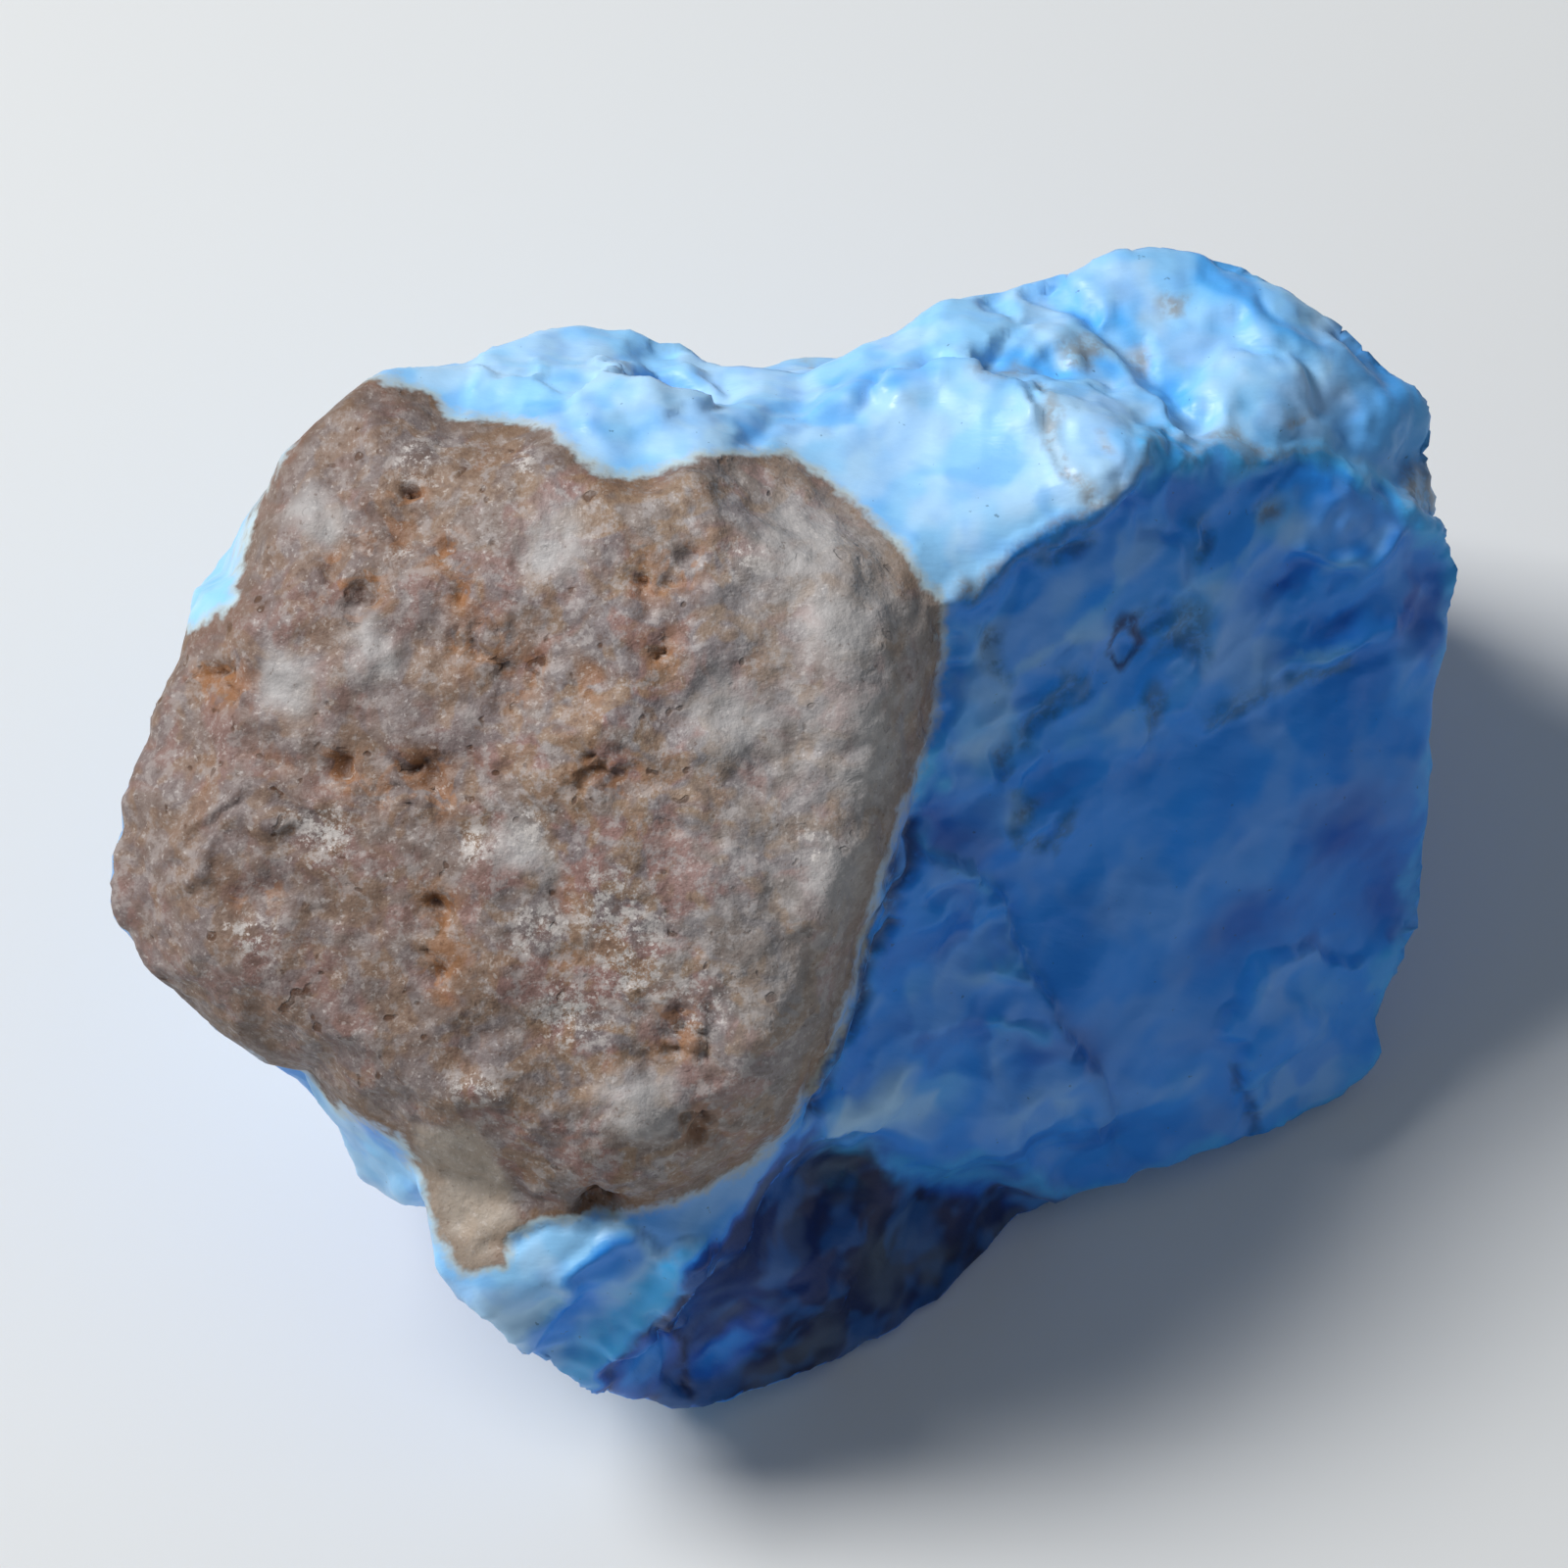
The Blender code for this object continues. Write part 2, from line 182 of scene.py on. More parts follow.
def fade(value, none, full):
    """0 at none, 1 at full, and a smooth S between them."""
    t = ((value - none) / (full - none)).clip(0, 1)
    return t * t * (3 - 2 * t)


# %% Read the points and normals, and measure the rind's edge


def read(target, what="co"):
    found = np.empty(len(target.data.vertices) * 3, np.float32)
    target.data.vertices.foreach_get(what, found)
    return found.reshape(-1, 3).astype(float)


RIND_DEPTH = -11.5


def rind_edge_of(target):
    """Millimetres inside the rind's outline, for the upper skin of the stone only."""
    seen = to_view(read(target))
    facing = (read(target, "normal") @ TURN)[:, 2]
    edge = edge_distance(on_sheet(seen), RIND_OUTLINE)
    return np.minimum(np.minimum(edge, (seen[:, 2] - RIND_DEPTH) * 0.8), (facing + 0.15) * 8)


edge = rind_edge_of(stone)
print("points on the rind:", int((edge > 0).sum()))

# %% Choose faces by a test on their points


def choose(target, wanted):
    """Selects the faces whose points all pass, and nothing else."""
    bpy.ops.object.mode_set(mode="EDIT")
    bpy.ops.mesh.select_mode(type="FACE")
    bpy.ops.mesh.select_all(action="DESELECT")
    bpy.ops.object.mode_set(mode="OBJECT")
    corners = np.empty(len(target.data.loops), np.int32)
    target.data.loops.foreach_get("vertex_index", corners)
    starts = np.empty(len(target.data.polygons), np.int32)
    target.data.polygons.foreach_get("loop_start", starts)
    target.data.polygons.foreach_set("select", np.logical_and.reduceat(wanted[corners], starts))
    bpy.ops.object.mode_set(mode="EDIT")


# %% Split the near side once more and thin the underside
SPLIT_FACING = 0.06
choose(stone, (read(stone, "normal") @ TURN)[:, 2] > SPLIT_FACING)
bpy.ops.mesh.subdivide(number_cuts=1, smoothness=0.0)
bpy.ops.object.mode_set(mode="OBJECT")
choose(stone, read(stone)[:, 2] < 0.05 * MM)
bpy.ops.mesh.decimate(ratio=0.06)
bpy.ops.object.mode_set(mode="OBJECT")
edge = rind_edge_of(stone)
print("skin now:", sum(len(face.vertices) - 2 for face in stone.data.polygons), "triangles")

# %% [markdown]
# ## The stone's outline
#
# The remesh and the smoothing have rounded the corners of the outline a little. The outline is
# walked round once on the sheet, as the rind's was. Seen from a middle point, each direction then
# has a wanted reach and a present reach, and the skin near the rim is moved out or in by their
# ratio. The middle of the stone stays as it is, and so does the flat underside. The points were
# chosen where the outline turns.
#
# Skin that lies hidden behind the rim would be pulled into upright folds by this, so there the
# ratio is first evened out. To know which skin is hidden, the sheet is cut into small squares: in
# each one the nearest skin is what the eye meets, and what lies well behind it is out of sight.

# %% Even out numbers over the mesh, and find what the eye meets first


def evened(target, values, rounds):
    """The values averaged with their neighbours' along the mesh edges, this many times over."""
    ends = np.empty(len(target.data.edges) * 2, np.int32)
    target.data.edges.foreach_get("vertices", ends)
    a, b = ends.reshape(-1, 2).T
    size = len(values)
    count = (np.bincount(a, minlength=size) + np.bincount(b, minlength=size)).clip(1, None)
    for _ in range(rounds):
        total = np.bincount(a, values[b], size) + np.bincount(b, values[a], size)
        values = (values + total / count) / 2
    return values


SQUARE = 0.8
SQUARES = 120


def in_sight(seen):
    """1 for the skin that the eye meets first, 0 for skin that hides behind it."""
    column, row = (np.round(on_sheet(seen) / SQUARE).astype(int) + SQUARES // 2).T
    nearest = np.full((SQUARES, SQUARES), -1e9)
    np.maximum.at(nearest, (column, row), seen[:, 2])
    return fade(evened(stone, fade(seen[:, 2] - nearest[column, row], -6.0, -4.0), 24), 0.1, 0.6)


print("skin in sight:", round(float(in_sight(to_view(read(stone))).mean()) * 100), "%")

# %% Move the rim to its outline
MIDDLE_ON_SHEET = np.array((-0.5, -1.4))
STONE_OUTLINE = [
    (31.1, 9.4), (30.5, 5.4), (29.8, 1.8), (29.6, -2.2), (28.8, -5.8), (27.8, -9.0), (27.5, -12.8),
    (25.7, -14.8), (22.1, -16.3), (17.1, -18.2), (13.5, -19.0), (10.8, -20.0), (9.5, -21.6),
    (7.2, -23.8), (4.5, -25.7), (1.4, -27.2), (-1.8, -28.3), (-4.5, -28.7), (-7.2, -28.3),
    (-10.1, -27.2), (-12.6, -25.7), (-14.4, -24.2), (-16.6, -22.1), (-16.6, -20.0), (-17.3, -19.9),
    (-19.3, -18.2), (-20.5, -16.4), (-21.6, -14.8), (-22.5, -13.7), (-24.1, -13.1), (-26.5, -11.2),
    (-29.2, -9.0), (-30.8, -5.2), (-30.1, 0.0), (-27.9, 5.4), (-27.6, 6.3), (-27.0, 9.0),
    (-25.9, 10.3), (-24.7, 12.4), (-24.2, 13.0), (-23.2, 15.1), (-19.1, 18.7), (-18.0, 19.6),
    (-14.8, 19.8), (-11.5, 20.9), (-9.4, 21.2), (-7.2, 21.1), (-4.5, 20.2), (-2.7, 19.5),
    (0.5, 19.4), (1.4, 19.6), (4.5, 21.1), (7.2, 22.5), (10.8, 23.2), (14.4, 24.6), (17.6, 25.0),
    (20.7, 24.1), (23.9, 22.5), (27.0, 20.2), (29.3, 18.0), (30.2, 16.2), (29.9, 12.6),
]
DIRECTIONS = 144
LEAST_RATIO, MOST_RATIO = 0.92, 1.08
SOFTENING = 8


def reach(flat):
    """Angle and distance from the middle of the sheet."""
    gap = flat - MIDDLE_ON_SHEET
    return np.arctan2(gap[:, 1], gap[:, 0]), np.hypot(gap[:, 0], gap[:, 1])


corners = np.array(STONE_OUTLINE + STONE_OUTLINE[:1])
steps = np.linspace(0, 1, 12)[:, None]
walk = np.concatenate([a + (b - a) * steps for a, b in zip(corners, corners[1:])])
wanted_angle, wanted_reach = reach(walk)
order = np.argsort(wanted_angle)
middles = (np.arange(DIRECTIONS) + 0.5) / DIRECTIONS * 2 * math.pi - math.pi
wanted = np.interp(middles, wanted_angle[order], wanted_reach[order], period=2 * math.pi)
unmoved = read(stone)
for _ in range(3):
    points = read(stone)
    seen = to_view(points)
    angle, distance = reach(on_sheet(seen))
    present = np.zeros(DIRECTIONS)
    direction = ((angle + math.pi) / (2 * math.pi) * DIRECTIONS).astype(int) % DIRECTIONS
    np.maximum.at(present, direction, distance)
    ratio = (wanted / present).clip(LEAST_RATIO, MOST_RATIO)
    softer = np.mean([np.roll(ratio, turn) for turn in range(-SOFTENING, SOFTENING + 1)], axis=0)
    front = in_sight(seen)
    stretch = front * np.interp(angle, middles, ratio, period=2 * math.pi)
    stretch += (1 - front) * np.interp(angle, middles, softer, period=2 * math.pi)
    rim = np.interp(angle, middles, present, period=2 * math.pi)
    moved = (stretch - 1) * fade(distance / rim, 0.70, 1.0) * fade(points[:, 2] / MM, 0.1, 1.2)
    away = (on_sheet(seen) - MIDDLE_ON_SHEET) * ((EYE_DISTANCE - seen[:, 2]) / EYE_DISTANCE)[:, None]
    seen[:, :2] += away * moved[:, None]
    placed = to_stone(seen)
    placed[:, 2] = placed[:, 2].clip(0, None)
    stone.data.vertices.foreach_set("co", placed.astype(np.float32).ravel())
    stone.data.update()
edge = rind_edge_of(stone)
print("largest rim gap before the last step:", round(float(np.abs(wanted - present).max()), 2), "mm")
shift = np.linalg.norm(read(stone) - unmoved, axis=1) / MM
print("the skin was shifted by up to", round(float(shift.max()), 2), "mm")

# %% [markdown]
# ## Lumps, grain and fracture shells
#
# Weathered rind is lumpy at three sizes: soft swellings, pea-like knobs and a sugary grain. Fresh
# opal breaks like glass, in wide shells that meet in sharp low crests. A cell noise has just that
# form, a dish in each cell. Each kind is a Displace modifier with a noise of its own size, held to
# its own part of the stone by a vertex group, and applied. How far the rind was raised or sunk is
# kept, because rust gathers in its hollows.

# %% Vertex groups for the rind and for the fresh opal


WEIGHT_STEPS = 20


def weights(target, name, values):
    group = target.vertex_groups.new(name=name)
    steps = np.round(values.clip(0, 1) * WEIGHT_STEPS).astype(int)
    for step in range(1, WEIGHT_STEPS + 1):
        members = np.flatnonzero(steps == step)
        if len(members):
            group.add(members.tolist(), step / WEIGHT_STEPS, "REPLACE")
    return group.name


flat_base = fade(read(stone)[:, 2] / MM, 0.15, 1.2)
on_rind = weights(stone, "rind", fade(edge, -0.2, 1.0) * flat_base)
on_opal = weights(stone, "opal", fade(-edge, -0.2, 1.0) * flat_base)
turned_away = fade((read(stone, "normal") @ TURN)[:, 2], 0.25, -0.15)
turned_away = np.maximum(turned_away, 1 - in_sight(to_view(read(stone))))
unseen_opal = weights(stone, "unseen", fade(-edge, -0.2, 1.0) * flat_base * turned_away)
print("groups:", [group.name for group in stone.vertex_groups])

# %% Raise and sink the two skins by noise


def rough(target, group, kind, size, height, **settings):
    """Moves the skin along its normals by a noise of this size and height in millimetres."""
    pattern = bpy.data.textures.new(f"{group}_{size}", kind)
    pattern.noise_scale = size * MM
    for name, value in settings.items():
        setattr(pattern, name, value)
    apply_modifier(
        target, "DISPLACE", texture=pattern, texture_coords="LOCAL", strength=height * MM,
        mid_level=0.5, vertex_group=group,
    )


RIND_ROUGHNESS = [(4.2, 1.10, "CLOUDS"), (1.9, 0.45, "CLOUDS"), (0.8, 0.14, "CLOUDS")]
OPAL_ROUGHNESS = [(5.0, 0.30, "CLOUDS"), (2.0, 0.10, "CLOUDS")]
SHELLS = {"noise_intensity": 1.0, "distance_metric": "DISTANCE_SQUARED"}
before = read(stone)
normals = read(stone, "normal")
for size, height, kind in RIND_ROUGHNESS:
    rough(stone, on_rind, kind, size, height)
relief = ((read(stone) - before) * normals).sum(1) / MM
for size, height, kind in OPAL_ROUGHNESS:
    rough(stone, on_opal, kind, size, height)
rough(stone, unseen_opal, "VORONOI", 9.5, 1.3, **SHELLS)
rough(stone, on_opal, "VORONOI", 3.6, 0.30, **SHELLS)
print("rind relief from", round(relief.min(), 2), "to", round(relief.max(), 2), "mm")

# %% [markdown]
# ## Ledges, cracks, ridges and pits
#
# The marks that make this very stone are lines and spots at known places: a stepped ledge across
# the big face, a crack beside the knob, channels over the far lobe. Sculpting by hand would follow
# them with a brush. In code the brush is a line on the drawing sheet, and each point of the skin
# moves along its normal by an amount that depends on its distance from the line. The sheet itself
# is first bent a little by noise, so no line runs straighter than a break in stone does. Only skin
# in sight that faces the eye is moved, so a mark never prints through to the back of the stone.
#
# Where the opal broke roughly, the marks are too many to draw one by one. There, fields of chips do
# the work: space is cut into cells, each cell gets a shallow bowl tilted its own way, and where two
# bowls meet the lower one wins, which leaves a sharp ridge. Each chip also gets a random lightness
# of its own, painted into the colour as the shading of its facet.

# %% Noise at a point, and a sheet bent by it


def wobble(points, size, start=0.0):
    """Smooth noise, about -0.5 to 0.5, with features of this many millimetres."""
    return np.array([noise.noise(Vector(p)) for p in points / size + start])


def bent_sheet(seen):
    wide = np.stack([wobble(seen, 2.6, 11.0), wobble(seen, 2.6, 47.0)], axis=1)
    fine = np.stack([wobble(seen, 0.9, 23.0), wobble(seen, 0.9, 71.0)], axis=1)
    return on_sheet(seen) + 0.9 * wide + 0.35 * fine


# %% The brushes
skin = to_view(read(stone))
facing = read(stone, "normal") @ TURN
sheet = bent_sheet(skin)
toward_eye = fade(facing[:, 2], 0.02, 0.22) * in_sight(skin)
lift = np.zeros(len(skin))


def from_spot(place, stretch=(1.0, 1.0), turn=0.0):
    """Distance from a place on the sheet, with the sheet stretched along a slant."""
    gap = sheet - place
    c, s = math.cos(math.radians(turn)), math.sin(math.radians(turn))
    return np.hypot(gap @ (c, s) / stretch[0], gap @ (-s, c) / stretch[1])


def stroke(path, width):
    return fade(line_distance(sheet, path)[0], width, 0)


def spot(place, radius, stretch=(1.0, 1.0), turn=0.0):
    return fade(from_spot(place, stretch, turn), radius, 0)


def groove(path, width, depth):
    """A valley (or with a depth below zero, a ridge) along the line."""
    lift[:] -= depth * stroke(path, width) * toward_eye


def ledge(path, height, reach, sharp=0.3):
    """A step: the skin left of the line stands up at it and falls back over its reach."""
    away, side, along = line_distance(sheet, path)
    signed = away * side
    ends = fade(along, 0.0, 0.10) * fade(along, 1.0, 0.90)
    lift[:] += height * fade(signed, -sharp, sharp) * fade(signed, reach, 0) * ends * toward_eye


def hollow(place, radius, depth, stretch=(1.0, 1.0), turn=0.0):
    """A dish (or with a depth below zero, a swelling) round one place."""
    lift[:] -= depth * spot(place, radius, stretch, turn) * toward_eye


def scatter(cells, start):
    """A steady random number from 0 to 1 for each cell of a grid."""
    return np.mod(np.abs(np.sin(cells @ (12.9898, 78.233, 37.719) + start)) * 43758.5453, 1.0)


CHIP_BEND, CHIP_SCATTER, CHIP_CURVE, CHIP_TILT = 0.22, 0.8, 0.55, 0.9


def chips(share, size, height, slant=0.0, stretch=1.0, start=0.0):
    """Chips broken out of the skin: shallow tilted bowls that meet in sharp ridges."""
    c, s = math.cos(math.radians(slant)), math.sin(math.radians(slant))
    share = share * fade(edge, 0.2, -0.4)
    found = np.flatnonzero(share > 0.01)
    near = skin[found]
    sway = np.stack([wobble(near, 0.6 * size, k) for k in (11.0, 47.0, 83.0)], axis=1)
    bent = near + CHIP_BEND * size * sway
    turned = np.stack([bent @ (c, s, 0) / stretch, bent @ (-s, c, 0), bent[:, 2]], axis=1) / size
    lowest = np.full(len(found), 1e9)
    painted_facet_shade = np.zeros(len(found))
    for offset in itertools.product((-1, 0, 1), repeat=3):
        cell = np.floor(turned) + offset
        lots = np.stack([scatter(cell, start + k) for k in range(7)], axis=1)
        gap = turned - cell - 0.5 - CHIP_SCATTER * (lots[:, :3] - 0.5)
        tilt = ((lots[:, 3:6] - 0.5) * gap).sum(1)
        bowl = CHIP_CURVE * (gap * gap).sum(1) + CHIP_TILT * tilt
        painted_facet_shade = np.where(bowl < lowest, lots[:, 6] - 0.5, painted_facet_shade)
        lowest = np.minimum(lowest, bowl)
    lift[found] += height * (lowest - 0.10) * share[found]
    painted_chip_shade[found] += 2 * painted_facet_shade * share[found]


def near_side(outline, soft):
    return fade(edge_distance(sheet, outline), 0.0, soft) * toward_eye


# %% Chips on the big face, the knob, the far lobe, the top band and the hidden sides
painted_chip_shade = np.zeros(len(skin))
UPPER_BREAK = [
    (7.6, 7.8), (13, 12), (17, 15.4), (24, 14.8), (31, 10), (29.5, 5.5), (22, 2.6), (13, -1.6),
    (7.0, 0.4),
]
LEFT_BREAK = [
    (5.2, -1.2), (10.6, -3.6), (12.4, -9), (16, -15), (20, -16.6), (12, -19), (2, -16.4),
    (3.4, -9.6),
]
CORNER_BREAK = [(22, -7), (30, -5), (30, -17), (20, -18), (20.4, -11)]
KNOB_BREAK = [(12.4, 17.4), (15.6, 12.4), (18.6, 16.0), (16.4, 19.6)]
LOBE_BREAK = [(6, 19), (15, 19), (19, 16), (30, 13), (32, 18), (20, 26), (6, 24)]
TOP_BREAK = [(-20, 20), (-16, 17), (-9, 15), (0, 15.6), (6, 19), (4, 22), (-12, 22)]
chips(near_side(UPPER_BREAK, 1.6), 2.6, 0.95, 48, 1.8, 3.0)
chips(near_side(LEFT_BREAK, 1.4), 2.8, 0.85, -38, 1.6, 17.0)
chips(near_side(CORNER_BREAK, 1.2), 3.2, 0.70, 30, 1.5, 29.0)
chips(near_side(KNOB_BREAK, 0.8), 2.2, 0.70, 60, 1.5, 41.0)
chips(near_side(LOBE_BREAK, 1.5), 4.6, 1.10, -30, 1.6, 53.0)
chips(near_side(TOP_BREAK, 1.2), 4.0, 0.70, 15, 1.8, 59.0)
chips(evened(stone, fade(toward_eye, 0.3, 0.0), 8), 7.0, 1.4, 20, 1.5, 67.0)
print("lift from", round(lift.min(), 2), "to", round(lift.max(), 2), "mm")

# %% Ledges and grooves on the big face, the ridge and the knob
FACE_LEDGE = [
    (5.6, -1.8), (6.3, -3.3), (9.4, -4.4), (10.4, -6.9), (11.2, -8.0), (13.2, -11.6), (14.3, -13.4),
    (15.6, -16.8),
]
RIND_GROOVE = [
    (7.2, 8.1), (7.6, 5.4), (6.7, 1.8), (6.2, -1.8), (5.2, -3.9), (4.4, -6.4), (3.8, -8.5),
    (3.2, -10.8), (2.0, -12.9), (1.3, -14.7),
]
RIDGE_LINE = [
    (7.1, 8.0), (9.7, 10.1), (12.0, 11.1), (13.9, 12.2), (16.2, 14.5), (17.1, 15.8), (19.0, 15.0),
    (22.2, 15.4), (24.3, 14.8), (26.6, 14.1), (28.3, 13.0), (29.6, 12.0), (31.1, 9.4),
]
CORNER_LEDGE = [(27.6, -7.7), (22.8, -7.7), (21.0, -8.7), (20.4, -11.1), (20.8, -11.8), (21.2, -15.4)]
KNOB_CRACK = [(12.2, 17.8), (12.4, 17.1), (12.8, 14.9), (13.7, 13.1)]
ledge(FACE_LEDGE[::-1], 0.75, 4.0, 0.25)
ledge([(27.9, 6.7), (21.5, 3.3), (15.3, 1.8), (11.2, 0.3), (5.8, -1.3)], -0.40, 3.0, 0.8)
ledge(CORNER_LEDGE, 0.60, 3.5)
for path, width, depth in (
    (RIND_GROOVE, 0.8, 0.55), (RIDGE_LINE, 0.9, -0.30), (KNOB_CRACK, 1.6, -0.35),
    (KNOB_CRACK, 0.4, 0.22), ([(16.0, 18.2), (17.1, 17.0), (18.0, 15.4)], 0.9, -0.45),
    ([(7.3, 1.5), (6.3, -0.5)], 0.6, -0.35), ([(21.0, -11.8), (21.2, -15.2)], 0.6, 0.35),
    ([(9.2, -8.0), (11.2, -8.3)], 0.5, -0.30), ([(9.4, -10.9), (11.7, -11.6)], 0.5, -0.30),
    ([(6.5, -5.2), (9.2, -4.6)], 0.6, 0.30),
    ([(23.8, 11.2), (26.6, 10.3), (28.6, 11.2)], 0.8, -0.40),
    ([(22.2, 5.4), (24.8, 6.2), (28.0, 7.2)], 0.7, -0.35),
    ([(9.4, 2.9), (12.0, 3.4), (13.6, 6.0)], 0.7, -0.25), ([(16.0, 1.6), (18.0, 5.4)], 0.6, -0.20),
    ([(15.6, 12.6), (17.6, 11.6), (18.8, 8.6)], 0.6, 0.25), ([(8.2, 4.8), (11.0, 9.6)], 0.9, 0.25),
):
    groove(path, width, depth)
print("lift from", round(lift.min(), 2), "to", round(lift.max(), 2), "mm")

# %% Shells and pits on the big face
for place, radius, depth, stretch, turn in (
    ((23.5, 9.4), 2.2, 0.75, (1.6, 0.9), 25), ((25.6, 7.6), 1.8, 0.60, (1.6, 0.7), 20),
    ((29.6, 9.4), 2.4, 0.55, (0.9, 1.3), 10), ((27.6, -5.7), 2.4, 0.55, (1.0, 1.2), 0),
    ((15.9, 6.4), 1.0, 0.30, (0.8, 1.2), 10), ((12.0, 3.1), 1.3, 0.35, (2.0, 0.5), 50),
    ((17.1, 2.8), 1.1, 0.35, (1.8, 0.5), 55), ((21.0, 3.6), 1.2, 0.35, (1.6, 0.7), 30),
    ((9.8, 0.8), 1.1, 0.40, (0.5, 1.5), 12), ((11.3, -0.8), 1.2, 0.30, (1.3, 0.8), 40),
    ((12.0, -2.3), 1.2, 0.30, (1.8, 0.4), 50), ((8.5, -6.8), 2.0, 0.45, (1.5, 0.8), 35),
    ((9.8, -11.8), 2.2, 0.40, (1.6, 0.8), 30), ((13.0, 10.5), 1.1, 0.40, (1.2, 0.8), 30),
    ((18.9, 11.3), 1.0, 0.35, (0.7, 1.6), 0), ((22.5, 12.6), 1.2, 0.40, (1.6, 0.7), 55),
    ((9.6, 5.9), 1.0, 0.30, (0.8, 1.5), 20), ((17.4, 8.0), 1.2, 0.30, (1.6, 0.7), 10),
    ((18.6, 6.2), 1.0, 0.35, (0.7, 1.5), 20), ((3.6, -14.9), 2.0, -0.70, (1.7, 0.7), 22),
    ((16.0, -3.0), 4.6, 0.55, (1.6, 0.9), 45), ((24.0, -10.8), 2.6, -0.40, (1.2, 0.9), 30),
    ((14.6, -14.6), 2.2, -0.35, (1.5, 0.8), 20), ((24.4, -2.0), 2.2, 0.35, (1.4, 0.8), 45),
    ((8.0, 3.2), 1.6, -0.35, (0.9, 1.4), -10), ((25.0, 13.0), 1.4, -0.35, (1.6, 0.7), -20),
):
    hollow(place, radius, depth, stretch, turn)
print("lift from", round(lift.min(), 2), "to", round(lift.max(), 2), "mm")

# %% Marks on the bright facet, the far lobe, the top band and the foot
ledge([(12.8, 16.9), (11.1, 17.8), (9.0, 18.7), (7.7, 19.3), (6.3, 19.4), (4.1, 18.5)], 0.75, 3.0)
ledge([(-2.9, 17.0), (-3.1, 18.3), (-4.0, 18.9), (-6.9, 19.2), (-8.5, 18.9), (-10.3, 17.2)], 0.60, 3.5)
ledge([(-10.3, 17.4), (-11.1, 19.0), (-15.0, 18.7)], 0.45, 2.5)
ledge([(-7.8, -26.4), (-7.2, -25.8), (-5.2, -23.8), (-3.8, -21.2)], 0.8, 3.6, 0.9)
for path, width, depth in (
    ([(11.7, 22.9), (14.6, 21.4), (17.1, 19.3), (18.9, 17.1)], 1.2, 0.80),
    ([(9.6, 22.6), (10.6, 20.9), (9.6, 19.6)], 0.9, 0.45),
    ([(9.3, 19.9), (13.9, 19.4), (17.6, 17.4)], 1.0, 0.55),
    ([(18.2, 18.9), (20.7, 21.1), (23.4, 19.6), (25.7, 16.4)], 0.9, 0.45),
    ([(19.5, 24.2), (22.6, 21.8), (26.4, 20.4)], 0.9, 0.35),
    ([(25.6, 21.8), (28.0, 18.0), (29.2, 14.5)], 1.3, 0.35),
    ([(-1.6, 16.2), (1.8, 17.3), (5.9, 18.7)], 1.0, 0.35),
    ([(-7.2, -20.2), (-9.3, -22.4), (-12.4, -25.9)], 0.9, -0.45),
    ([(-4.0, -21.2), (-5.2, -23.6), (-7.2, -25.6), (-9.8, -27.8)], 0.9, -0.45),
    ([(-6.3, -23.9), (-5.6, -25.6), (-4.6, -28.0)], 0.55, 0.50),
    ([(-6.0, -21.6), (-8.2, -24.4), (-10.6, -26.4)], 0.9, 0.30),
    ([(-13.2, -21.3), (-11.2, -20.6), (-9.9, -20.1), (-7.2, -20.0), (-4.5, -21.2)], 0.6, 0.25),
    ([(-2.4, -25.6), (-0.4, -24.3), (2.4, -23.6)], 1.3, -0.40),
):
    groove(path, width, depth)
for place, radius, depth, stretch, turn in (
    ((6.5, 19.7), 1.2, 0.80, (1.5, 0.7), -15), ((21.8, 18.0), 3.6, -0.70, (1.3, 0.9), -20),
    ((16.0, 23.6), 2.6, -0.40, (1.4, 0.8), -30), ((27.8, 16.6), 2.6, -0.60, (1.0, 1.2), -30),
    ((29.0, 13.6), 1.6, -0.40, (0.8, 1.1), 0), ((-5.4, 20.2), 1.4, 0.50, (1.5, 0.7), 0),
    ((-6.3, -26.5), 1.2, 0.30, (1.4, 0.8), 50), ((-3.0, -25.9), 1.5, 0.35, (1.6, 0.7), 25),
    ((2.5, -18.6), 2.6, 0.60, (1.3, 0.9), -20), ((12.6, 19.9), 1.0, 0.40, (1.5, 0.7), 10),
    ((-17.4, -18.8), 1.0, -0.35, (1.0, 1.0), 0), ((-19.6, -17.4), 1.2, -0.30, (1.0, 1.4), 30),
):
    hollow(place, radius, depth, stretch, turn)
print("lift from", round(lift.min(), 2), "to", round(lift.max(), 2), "mm")

# %% The rind's trough, pits, curls and waxy domes
RIND_PITS = [
    (-17.6, 13.4, 0.55, 1.1), (-19.5, 8.4, 1.0, 0.7), (-21.3, 9.4, 0.8, 0.6), (-15.5, 10.8, 0.7, 0.5),
    (-6.5, 9.4, 0.65, 0.9), (-4.3, 10.3, 0.8, 0.5), (-5.6, 6.3, 0.6, 0.5), (-20.2, 0.3, 0.8, 0.6),
    (-16.3, 0.3, 1.2, 0.4), (-16.0, -5.5, 0.8, 0.7), (-15.5, -8.9, 0.8, 0.5), (-5.0, -11.1, 1.0, 0.5),
    (-3.3, -15.7, 0.8, 0.6), (-8.5, -19.1, 1.1, 1.4), (-26.2, 5.0, 0.8, 0.6), (-14.6, 8.8, 0.8, 0.5),
]
PIT_FIELDS = [
    (-19.0, 11.8, 3.0), (-19.8, 8.6, 2.4), (-5.2, 9.6, 2.6), (-5.4, 6.2, 1.8), (-15.8, -7.4, 2.6),
    (-4.6, -11.6, 3.2), (-13.6, 6.4, 3.0), (-8.6, 0.6, 2.6), (-17.0, 0.0, 2.6), (-3.6, -15.4, 1.8),
    (-25.4, 4.6, 2.0),
]
for right, up, radius, depth in RIND_PITS:
    hollow((right, up), radius, depth)
pitted = np.maximum.reduce([spot((right, up), radius) for right, up, radius in PIT_FIELDS])
